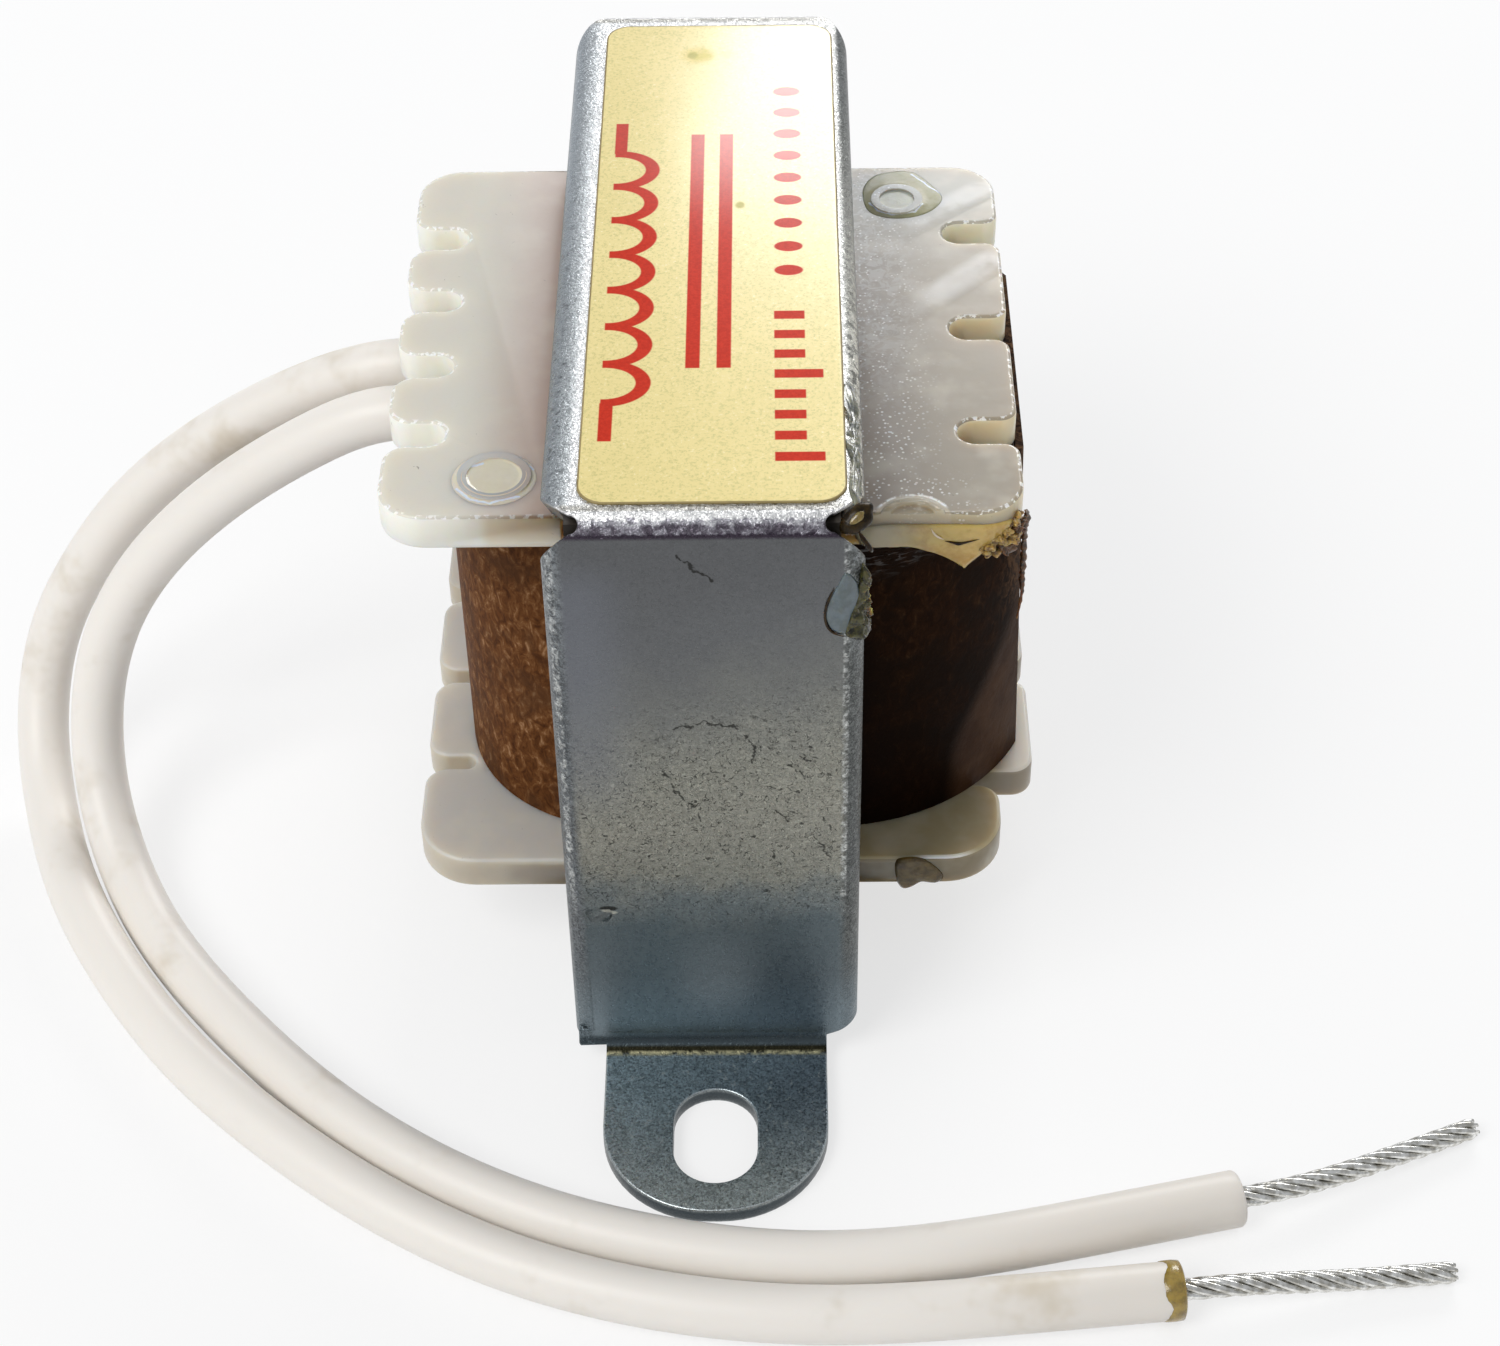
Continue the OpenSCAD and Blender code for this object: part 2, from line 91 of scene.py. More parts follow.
STRANDS_1 = [(19, -31.9, 1.2), (21, -31.7, 1.2), (25.5, -31.2, 0.8), (30.5, -30.6, 0.5)]
STRANDS_2 = [(21.9, -27.3, 1.2), (23.7, -26.9, 1.2), (28.2, -25.1, 0.8), (32.6, -23.1, 0.5)]

# Outlines of varnish films and routes of threads, in x and z on faces that look to the front, in x and y on
# faces that look up, or in all three
SKIRT = [
    (5.9, 25.3), (6.2, 24.5), (7.0, 24.42), (8.0, 24.4), (9.0, 24.1), (9.75, 23.72), (10.3, 23.3),
    (10.42, 23.22), (10.6, 23.45), (11.2, 24.05), (12.0, 24.6), (12.6, 25.0), (12.3, 25.35), (10.8, 25.55),
    (8.6, 25.6), (7.0, 25.6),
]
SKIRT_FOLD = [
    (9.55, 24.78), (9.9, 24.62), (10.12, 24.55), (10.5, 24.68), (10.95, 24.86), (10.35, 24.74),
    (10.1, 24.72),
]
# A thin pale thread on the skirt that stands for a highlight streak: a painted highlight
SKIRT_GLINT = [(9.0, 25.45), (9.15, 25.15), (9.35, 24.98), (9.5, 24.9)]
LOW_DROP = [
    (8.0, 6.1), (8.0, 5.0), (8.3, 4.3), (8.7, 4.35), (9.2, 4.7), (9.9, 4.65), (10.15, 5.15), (9.5, 6.0),
    (8.8, 6.3),
]
PUDDLE = [
    (6.8, 10.2), (7.1, 11.3), (7.8, 11.9), (9.05, 12.0), (9.8, 11.2), (10.45, 9.8), (9.7, 8.6), (8.3, 8.2),
    (7.1, 8.7),
]
PUDDLE_RING = (8.35, 9.6)
POOL_MIDDLE = (-8.6, -9.95)
POOL_RING = (-8.6, -9.9)
FRONT_RING = (8.25, -12.75)
LEG_SMEAR = [
    (6.28, 28.4), (6.5, 27.9), (6.62, 27.36), (6.66, 26.8), (6.6, 26.3), (6.62, 25.6), (6.5, 24.7),
    (6.1, 24.5), (5.75, 24.8), (5.45, 25.05), (5.45, 25.5), (5.68, 26.3), (5.95, 27.2), (6.1, 27.9),
]
LEG_FILM = [
    (5.45, 28.3), (5.16, 27.76), (4.9, 27.2), (4.71, 26.64), (4.64, 26.08), (4.75, 25.6), (5.0, 25.25),
    (5.5, 25.1), (6.0, 25.6), (6.05, 26.6), (5.95, 27.6),
]
FILM_CRACK = [(5.0, 27.5), (4.78, 26.9), (4.66, 26.3), (4.7, 25.7), (4.95, 25.25), (5.4, 25.05)]
LIP_SMEAR = [
    (5.5, -9.9), (5.9, -9.6), (6.15, -10.5), (6.2, -12.5), (6.2, -15.0), (6.1, -17.0), (5.8, -17.3),
    (5.55, -16.4), (5.75, -15.0), (5.45, -13.6), (5.7, -12.2), (5.4, -11.0),
]
BEAD_TAIL = [(5.9, -18.1, 30.1), (6.1, -18.25, 29.75), (6.3, -18.3, 29.45), (6.42, -18.1, 29.0)]
TORN_EDGE = [
    (13.05, -9.1, 23.5), (13.25, -8.2, 22.6), (13.3, -7.6, 21.6), (13.33, -7.1, 20.5), (13.36, -6.8, 19.2),
    (13.38, -6.7, 18.0), (13.37, -6.9, 16.8), (13.2, -7.3, 15.9),
]

# Crumbs under the top flange's front right corner: run along the face, height, depth over it, and radius
CRUMBS = (
    (11.15, 24.25, 0.1, 0.22), (11.4, 24.45, 0.12, 0.26), (11.75, 24.6, 0.1, 0.24), (12.1, 24.85, 0.12, 0.24),
    (12.45, 25.1, 0.1, 0.22), (12.8, 25.3, 0.08, 0.2), (11.5, 24.05, 0.0, 0.3), (11.9, 24.2, 0.0, 0.36),
    (12.3, 24.4, 0.0, 0.36), (12.7, 24.6, -0.05, 0.34), (12, 23.85, -0.15, 0.34), (12.4, 23.95, -0.15, 0.36),
    (12.8, 24.1, -0.15, 0.34), (12.3, 23.6, -0.3, 0.26), (13.2, 24.6, 0.0, 0.3), (13.2, 24.2, -0.1, 0.26),
)
GOLDEN_CRUMBS = 7

# Varnishes: hues where thin and where thick, size of their clouds, roughness and weight of their coat, shine
VARNISHES = {
    "amber": ((0.62, 0.43, 0.13), (0.46, 0.28, 0.06), 1.2, 0.08, 0.3, 0.5),
    "puddle": ((0.45, 0.41, 0.27), (0.33, 0.3, 0.155), 1.5, 0.2, 0.1, 0.25),
    "olive": ((0.07, 0.066, 0.018), (0.008, 0.008, 0.002), 0.35, 0.08, 0.25, 0.3),
    "lip_smear": ((0.24, 0.24, 0.17), (0.05, 0.055, 0.045), 0.45, 0.08, 0.8, 0.5),
    "blue_film": ((0.11, 0.145, 0.165), (0.075, 0.1, 0.105), 0.6, 0.07, 0.4, 0.5),
    "brown": ((0.01, 0.006, 0.002), (0.034, 0.021, 0.006), 0.35, 0.14, 0.03, 0.15),
    "collar": ((0.36, 0.25, 0.05), (0.22, 0.15, 0.03), 0.5, 0.12, 0.5, 0.5),
    "honey": ((0.22, 0.155, 0.035), (0.1, 0.07, 0.016), 0.4, 0.1, 0.4, 0.5),
    "milky": ((0.98, 0.78, 0.54), (0.93, 0.73, 0.49), 1.5, 0.06, 0.2, 0.5),
    "olive_clear": ((0.15, 0.105, 0.035), (0.065, 0.042, 0.012), 0.6, 0.08, 0.2, 0.3),
    "crumb": ((0.15, 0.075, 0.028), (0.016, 0.008, 0.003), 0.25, 0.35, 0.1, 0.5),
    "golden_crumb": ((0.46, 0.31, 0.09), (0.12, 0.065, 0.018), 0.25, 0.2, 0.25, 0.5),
}

# Painted white glints in the varnish over the left ring and over the puddle, and dark scratches on the front
# leg
GLINTS = {
    "milky": [
        [(-10.08, -10.64), (-9.47, -11.28), (-8.69, -11.54), (-7.52, -11.12)],
        [(-9.69, -9.31), (-9.11, -9.0)], [(-8.53, -8.36), (-7.66, -8.63), (-7.05, -9.41)],
    ],
    "puddle": [
        [(9.11, 11.67), (9.73, 10.87), (10.4, 10.07)],
        [(7.1, 9.39), (7.49, 8.75), (8.11, 8.43), (9.15, 8.65), (9.49, 9.27)],
    ],
}
SCRATCHES = [
    [(-1.33, 20.08), (-0.16, 20.44), (1.11, 20.18)], [(1.37, 19.8), (1.86, 18.97), (1.76, 18.15)],
    [(-1.86, 17.74), (-1.08, 16.1), (-0.44, 15.64), (-0.28, 14.71)], [(3.26, 18.0), (3.81, 17.29)],
    [(0.16, 17.84), (0.78, 17.13)], [(2.43, 16.72), (3.62, 16.58)], [(3.72, 18.51), (4.08, 18.25)],
    [(4.69, 15.05), (4.97, 14.32)], [(4.18, 14.06), (5.03, 12.63)], [(2.7, 15.6), (3.16, 14.87)],
    [(2.54, 12.86), (2.82, 12.24)], [(-0.98, 29.28), (-0.56, 28.6), (0.36, 27.9)],
]

# Two wave ridges in the right wing's varnish, bumps with painted reflections: slope, height at x = 0, and
# half-width
WAVE_FAR = (0.83, 0.32, 1.15)
WAVE_NEAR = (0.98, -7.27, 1.3)


def run_along(line):
    """Distance from the start of a path to each of its points."""
    return np.concatenate([[0], np.cumsum(np.linalg.norm(np.diff(line, axis=0), axis=1))])


def smooth_path(points, step):
    """Points every step or so along a natural cubic spline through the given ones."""
    p = np.array(points, float)
    h = np.diff(run_along(p))
    n = len(p)
    a = np.eye(n)
    b = np.zeros((n, 3))
    for i in range(1, n - 1):
        a[i, i - 1:i + 2] = h[i - 1], 2 * (h[i - 1] + h[i]), h[i]
        b[i] = 6 * ((p[i + 1] - p[i]) / h[i] - (p[i] - p[i - 1]) / h[i - 1])
    bend = np.linalg.solve(a, b)
    line = []
    for i in range(n - 1):
        count = max(2, math.ceil(h[i] / step))
        for t in np.arange(count) / count * h[i]:
            u = h[i] - t
            line.append(
                (bend[i] * u**3 + bend[i + 1] * t**3) / (6 * h[i])
                + (p[i] / h[i] - bend[i] * h[i] / 6) * u
                + (p[i + 1] / h[i] - bend[i + 1] * h[i] / 6) * t
            )
    line.append(p[-1])
    return np.array(line)


def path_frames(line):
    """Unit vectors along a path and across it, carried along without a twist."""
    along = np.gradient(line, axis=0)
    along /= np.linalg.norm(along, axis=1)[:, None]
    up = np.array([0.0, 0.0, 1.0])
    across = []
    for t in along:
        up = up - (up @ t) * t
        up /= np.linalg.norm(up)
        across.append(up)
    across = np.array(across)
    return along, across, np.cross(along, across)


def spokes(across, beside, sides):
    """Unit vectors all round a path: for each of its points, one to each side."""
    angles = np.arange(sides)[:, None] / sides * TURN
    return np.cos(angles) * across[:, None] + np.sin(angles) * beside[:, None]


def tube_faces(rows, sides, base=0):
    """Faces of a closed tube: quads between its rings, then a cap on each end."""
    faces = [
        (i * sides + j, i * sides + (j + 1) % sides, (i + 1) * sides + (j + 1) % sides, (i + 1) * sides + j)
        for i in range(rows - 1)
        for j in range(sides)
    ]
    faces.append(tuple(range(sides))[::-1])
    faces.append(tuple(range((rows - 1) * sides, rows * sides)))
    return [tuple(base + v for v in face) for face in faces]


class Shader:
    """A material's node tree, with a short call for each kind of node that the scene uses."""

    def __init__(self, name):
        self.material = bpy.data.materials.new(name)
        self.material.use_nodes = True
        self.tree = self.material.node_tree
        self.bsdf = self.tree.nodes["Principled BSDF"]
        self.place = self.add("ShaderNodeTexCoord").outputs["Object"]
        self.tone = None

    def put(self, socket, value):
        """Links a node's output to a socket, or sets the socket's own value."""
        if isinstance(value, bpy.types.NodeSocket):
            self.tree.links.new(value, socket)
        elif socket.type == "RGBA":
            socket.default_value = (*value, 1)
        else:
            socket.default_value = value

    def add(self, kind, sockets=None, **settings):
        """A new node with these settings, and values on its sockets by their names or numbers."""
        node = self.tree.nodes.new(kind)
        for key, value in settings.items():
            setattr(node, key, value)
        for key, value in (sockets or {}).items():
            self.put(node.inputs[key], value)
        return node

    def surface(self, **values):
        """The material with the tone and these values, with the spaces in sockets' names as underlines."""
        for key, value in {"Base_Color": self.tone, **values}.items():
            self.put(self.bsdf.inputs[key.replace("_", " ")], value)
        return self.material

    def paint(self, colour, *masks):
        """Lays a colour over the tone so far, as far as the masks let it."""
        self.tone = self.mix(self.times(*masks), self.tone, colour)

    def shade(self, factor):
        """Makes the tone so far lighter or darker."""
        self.tone = self.scaled(self.tone, factor)

    def math(self, operation, a, b=0.0, clamp=False):
        return self.add("ShaderNodeMath", {0: a, 1: b}, operation=operation, use_clamp=clamp).outputs[0]

    def fold(self, operation, values):
        """A sum of two values, taken over several in turn."""
        return functools.reduce(lambda a, b: self.math(operation, a, b), values)

    def mask(self, value):
        """The value itself, or the rise that (value, low, high) stands for."""
        return self.rise(*value) if isinstance(value, tuple) else value

    def times(self, *masks):
        return self.fold("MULTIPLY", map(self.mask, masks))

    def plus(self, *values):
        return self.fold("ADD", values)

    def most(self, *values):
        return self.fold("MAXIMUM", values)

    def minus(self, a, b):
        return self.math("SUBTRACT", a, b)

    def size(self, value):
        return self.math("ABSOLUTE", value)

    def far(self, u, v):
        """Distance of a place from the middle, in a plane."""
        return self.math("SQRT", self.plus(self.times(u, u), self.times(v, v)))

    def rise(self, value, low, high):
        """From 0 where value is low to 1 where it is high, smoothly."""
        sockets = {"Value": value, "From Min": low, "From Max": high}
        return self.add("ShaderNodeMapRange", sockets, interpolation_type="SMOOTHSTEP").outputs["Result"]

    def band(self, value, centre, half, soft=0.03):
        """1 within half of the centre and 0 beyond it."""
        return self.rise(self.size(self.minus(value, centre)), half + soft, half - soft)

    def near(self, *parts, soft=1.0):
        """1 in the middle and 0 beyond its reach. Each part is a value, the middle's own, and the reach."""
        shares = [self.math("DIVIDE", self.minus(value, middle), reach) for value, middle, reach in parts]
        total = self.plus(*(self.times(share, share) for share in shares))
        return self.minus(1.0, self.rise(total, 1 - soft, 1))

    def mix(self, factor, a, b):
        """Colour a where factor is 0, b where it is 1."""
        return self.add("ShaderNodeMix", {0: self.mask(factor), 6: a, 7: b}, data_type="RGBA").outputs[2]

    def vector(self, operation, sockets, output="Vector"):
        return self.add("ShaderNodeVectorMath", sockets, operation=operation).outputs[output]

    def scaled(self, vector, factor):
        """A colour made lighter or darker, or a vector made longer or shorter."""
        return self.vector("SCALE", {0: vector, "Scale": factor})

    def ramp(self, factor, stops):
        node = self.add("ShaderNodeValToRGB", {"Fac": factor})
        elements = node.color_ramp.elements
        while len(elements) < len(stops):
            elements.new(0.5)
        for element, (at, colour) in zip(elements, stops):
            element.position = at
            element.color = (*colour, 1)
        return node.outputs["Color"]

    def axis(self, name):
        """One coordinate of the row's frame, in millimetres."""
        return self.times(self.add("ShaderNodeSeparateXYZ", {0: self.place}).outputs[name], 1 / MM)

    def facing(self, name, normal="Normal"):
        """How far a face turns to one axis of the row's frame: 1 is straight at it, -1 away from it."""
        turned = self.add("ShaderNodeNewGeometry").outputs[normal]
        return self.add("ShaderNodeSeparateXYZ", {0: turned}).outputs[name]

    def stretched(self, scale, turn):
        """The row's frame with other scales, turned by the given degrees."""
        sockets = {"Vector": self.place, "Rotation": [math.radians(a) for a in turn], "Scale": scale}
        return self.add("ShaderNodeMapping", sockets).outputs["Vector"]

    def noise(self, size, detail=3, rough=0.55, vector=None, distortion=0):
        """Noise whose features are about size millimetres across."""
        sockets = {"Vector": vector or self.place, "Scale": 1 / (size * MM), "Detail": detail,
                   "Roughness": rough, "Distortion": distortion}
        return self.add("ShaderNodeTexNoise", sockets).outputs["Fac"]

    def cells(self, size):
        """Distance to the middle of the nearest of many cells, each about size millimetres across."""
        sockets = {"Vector": self.place, "Scale": 1 / (size * MM)}
        return self.add("ShaderNodeTexVoronoi", sockets).outputs["Distance"]

    def strokes(self, names, lines, width, wander):
        """1 on thin lines over two of the coordinates, each given as points in millimetres."""
        places = {}
        for k, (name, size) in enumerate(zip(names, (0.5, 0.37))):
            shift = self.times(self.minus(self.noise(size, detail=2), 0.5), wander)
            places[k] = self.plus(self.axis(name), shift)
        flat = self.add("ShaderNodeCombineXYZ", places).outputs[0]
        gaps = []
        for line in lines:
            for start, end in zip(line, line[1:]):
                run = np.subtract(end, start)
                offset = self.vector("SUBTRACT", {0: flat, 1: (*start, 0)})
                share = self.vector("DOT_PRODUCT", {0: offset, 1: (*(run / (run @ run)), 0)}, "Value")
                foot = self.scaled((*run, 0), self.math("ADD", share, clamp=True))
                gap = self.vector("SUBTRACT", {0: offset, 1: foot})
                gaps.append(self.vector("LENGTH", {0: gap}, "Value"))
        return self.rise(self.fold("MINIMUM", gaps), width, width * 0.3)

    def bump(self, height, strength, distance, under=None):
        """A bump whose height of 1 is distance millimetres, a number or another node's output."""
        if isinstance(distance, bpy.types.NodeSocket):
            distance = self.times(distance, MM)
        else:
            distance = distance * MM
        sockets = {"Height": height, "Strength": strength, "Distance": distance}
        if under is not None:
            sockets["Normal"] = under
        return self.add("ShaderNodeBump", sockets).outputs["Normal"]


def zinc():
    """Zinc-plated sheet, grainy mid-leg and smooth below, with painted reflections: bluish below, bright at
    bends.
    """
    s = Shader("zinc_sheet")
    x, y, z = map(s.axis, "XYZ")
    side = s.size(x)
    end = s.size(y)
    flat = s.size(s.facing("Z"))
    left = s.rise(x, 3, -3)
    grain = s.rise(s.noise(0.13, rough=0.7), 0.36, 0.64)
    worms = s.rise(s.noise(0.19, detail=2, distortion=1.7), 0.37, 0.63)
    blots = s.noise(0.36, rough=0.6, distortion=0.6)
    cloud = s.noise(2.6, detail=4, rough=0.6)

    # Down a leg: a painted reflection, darker at the top, lighter in the middle and bluish near the foot
    wobble = s.times(s.minus(cloud, 0.5), 5, (z, 3, 8))
    tilt = s.times(x, (z, 12, 18), -0.28)
    s.tone = s.ramp(s.math("DIVIDE", s.plus(z, wobble, tilt), 31, clamp=True), [
        (0.00, (0.165, 0.2, 0.22)), (0.08, (0.19, 0.235, 0.262)), (0.17, (0.135, 0.163, 0.178)),
        (0.27, (0.127, 0.156, 0.169)), (0.33, (0.175, 0.195, 0.195)), (0.38, (0.265, 0.265, 0.232)),
        (0.46, (0.3, 0.296, 0.258)), (0.56, (0.278, 0.278, 0.243)), (0.68, (0.196, 0.202, 0.194)),
        (0.8, (0.15, 0.156, 0.162)), (0.92, (0.128, 0.132, 0.138)),
    ])
    rough_zone = s.plus(s.times((z, 8.0, 10.5), (s.plus(z, tilt), 23, 18), 0.85), 0.15)
    s.shade(s.plus(0.82, s.times(grain, 0.1), s.times(worms, s.plus(0.03, s.times(rough_zone, 0.26)))))
    curl = s.noise(0.3, detail=1, rough=0.4, distortion=1.2)
    dark_curl = s.times(s.band(curl, 0.5, 0.023, soft=0.013), rough_zone, (blots, 0.4, 0.52), -0.75)
    light_curl = s.times(s.band(curl, 0.555, 0.019, soft=0.011), rough_zone, 0.3)
    s.shade(s.plus(1.0, dark_curl, light_curl))
    speck = s.rise(s.noise(0.33, detail=2, rough=0.6, distortion=2.0), 0.65, 0.72)
    s.paint((0.05, 0.05, 0.046), speck, rough_zone, 0.6)
    # A bluish sheen on the upper left of the leg: a painted reflection
    painted_sheen = s.times((x, -2.2, -4.8), (z, 14, 18), (z, 29.5, 27))
    s.paint((0.2, 0.215, 0.255), painted_sheen, 0.35)
    scratch = s.strokes("XZ", SCRATCHES, 0.075, wander=0.8)
    s.paint((0.022, 0.022, 0.02), scratch, (y, -18.2, -18.35), (blots, 0.36, 0.47), 0.85)

    # Staking dent in the front leg: a dark slit of painted shade over a rim of painted highlight
    at_front = s.rise(y, -18.1, -18.2)
    s.paint((0.018, 0.018, 0.016), s.near((x, -4.4, 0.44), (z, 9.62, 0.17), soft=0.5), at_front, 0.9)
    s.paint((0.5, 0.5, 0.44), s.near((x, -4.36, 0.4), (z, 9.36, 0.14), soft=0.6), at_front, 0.8)

    # Bends of the leg's sides in painted shade, each with a painted highlight down it and painted light high
    # up
    leg_bend = s.times((side, 5.25, 5.7), (z, 30.2, 29.6), (end, 16.5, 17.2))
    bend_tone = s.mix(left, (0.112, 0.12, 0.118), (0.135, 0.148, 0.158))
    s.paint(s.scaled(bend_tone, s.plus(0.55, s.times(worms, 0.8))), leg_bend, (z, 3, 8))
    glint = s.most(s.near((x, -5.86, 0.2)), s.near((x, 5.5, 0.17)))
    glint = s.times(glint, (blots, 0.4, 0.6), (z, 8, 12), (z, 30.0, 29.4), (end, 17, 17.4))
    s.paint((0.68, 0.7, 0.69), glint, s.plus(0.25, s.times(worms, 0.6)))
    s.paint((0.42, 0.45, 0.47), leg_bend, (z, 22, 27), (blots, 0.42, 0.58), 0.35)

    # Bends and strips of the top in painted light and shade: white by the label, grey to dark at the outer
    # edge
    top = s.rise(z, 30.0, 30.3)
    near_end = s.rise(y, 14, -13)
    inner = s.mix(near_end, (0.72, 0.75, 0.77), (0.54, 0.57, 0.585))
    outer = s.mix(near_end, (0.38, 0.43, 0.48), (0.27, 0.3, 0.33))
    strip_left = s.mix((side, 5.1, 6.1), inner, outer)
    strip_left = s.mix((side, 5.25, 4.9), strip_left, (0.95, 0.96, 0.97))
    strip_left = s.scaled(strip_left, s.plus(0.84, s.times(worms, s.plus(0.16, s.times(near_end, 0.16)))))
    vein = s.times((blots, 0.43, 0.36), near_end, (x, -5.0, -5.7))
    strip_left = s.mix(s.times(vein, 0.75), strip_left, (0.1, 0.11, 0.12))
    outer = s.mix(near_end, (0.1, 0.11, 0.11), (0.62, 0.61, 0.55))
    strip_right = s.mix((side, 5.5, 5.85), (0.86, 0.86, 0.84), outer)
    strip_right = s.scaled(strip_right, s.plus(0.75, s.times(worms, 0.5)))
    dark_blots = s.times((blots, 0.5, 0.42), (x, 5.45, 5.8), s.plus(0.15, s.times(near_end, near_end, 0.7)))
    strip_right = s.mix(dark_blots, strip_right, (0.055, 0.058, 0.05))
    s.paint(s.mix(left, strip_right, strip_left), top)

    # Fold at the front in painted light and shade: pale, a white highlight, purple-grey blots, a thin dark
    # line
    fold = s.times((end, 17.2, 17.45), (z, 29.9, 30.08), (side, 5.9, 5.6))
    height = s.plus(z, s.times(s.minus(blots, 0.5), 0.3))
    lumps = s.times((blots, 0.4, 0.6), s.plus(0.6, s.times(worms, 0.4)))
    blotted = s.mix(lumps, (0.105, 0.092, 0.115), (0.31, 0.3, 0.34))
    fold_tone = s.mix((height, 30.14, 30.24), (0.05, 0.04, 0.056), blotted)
    blotted = s.mix(lumps, (0.32, 0.315, 0.35), (0.66, 0.66, 0.69))
    fold_tone = s.mix((height, 30.42, 30.58), fold_tone, blotted)
    fold_tone = s.mix((height, 30.6, 30.68), fold_tone, (0.9, 0.9, 0.9))
    pale = s.mix(lumps, (0.46, 0.45, 0.42), (0.66, 0.65, 0.62))
    s.paint(s.mix((z, 30.77, 30.795), fold_tone, pale), fold)

    # Feet in painted light and shade: lighter at the left and towards the ends, with white blots of painted
    # glints
    foot = s.times((z, 1.9, 0.75), (flat, 0.3, 0.8))
    foot_tone = s.mix((x, -4.5, 4.5), (0.55, 0.65, 0.69), (0.31, 0.37, 0.42))
    foot_tone = s.mix((end, 21, 27), foot_tone, (0.59, 0.65, 0.67))
    uneven = s.plus(0.2, s.times(cloud, 0.6), s.times(worms, 0.55), s.times(grain, 0.25))
    foot_tone = s.scaled(foot_tone, uneven)
    foot_tone = s.mix(s.times((blots, 0.6, 0.68), 0.5), foot_tone, (0.95, 0.98, 0.95))
    s.paint(foot_tone, foot)
    # Painted shade on the feet's cut edges, a painted highlight on their rims, and painted shade in the bends
    edges = s.times((z, 1.5, 1.0), (flat, 0.35, 0.15), (end, 19.0, 19.4))
    s.shade(s.minus(1.0, s.times(edges, 0.62)))
    rim = s.times((z, 1.4, 0.9), (flat, 0.97, 0.8), (flat, 0.1, 0.3), (end, 19.3, 19.6))
    s.paint((0.4, 0.43, 0.43), rim, s.plus(0.35, s.times(worms, 0.65)))
    bend = s.times((z, 2.0, 1.5), (flat, 0.1, 0.45), (end, 19.2, 18.9), (end, 18.3, 18.4))
    s.paint(s.mix((end, 18.6, 18.74), (0.07, 0.09, 0.102), (0.018, 0.017, 0.01)), bend)
    golden = s.times(s.band(end, 18.98, 0.09, soft=0.07), (z, 1.35, 1.2), (blots, 0.36, 0.55))
    s.paint((0.62, 0.58, 0.36), golden, 0.9)

    crinkled = s.most(top, fold, leg_bend)
    depth = s.plus(s.times(crinkled, 0.05), s.times(rough_zone, 0.03), 0.004)
    peel = s.bump(s.plus(s.times(worms, 0.4), s.times(blots, 1.2)), 1.0, depth)
    return s.surface(
        Metallic=1.0, Roughness=s.plus(0.26, s.times(grain, 0.1)),
        Normal=s.bump(s.noise(2.5, detail=2), 0.3, 0.08, under=peel),
    )


def core_steel():
    s = Shader("core_steel")
    s.tone = s.ramp(s.noise(0.9, detail=4), [(0.3, (0.1, 0.08, 0.06)), (0.7, (0.24, 0.22, 0.2))])
    return s.surface(Metallic=0.85, Roughness=0.42, Normal=s.bump(s.noise(0.3), 0.3, 0.04))


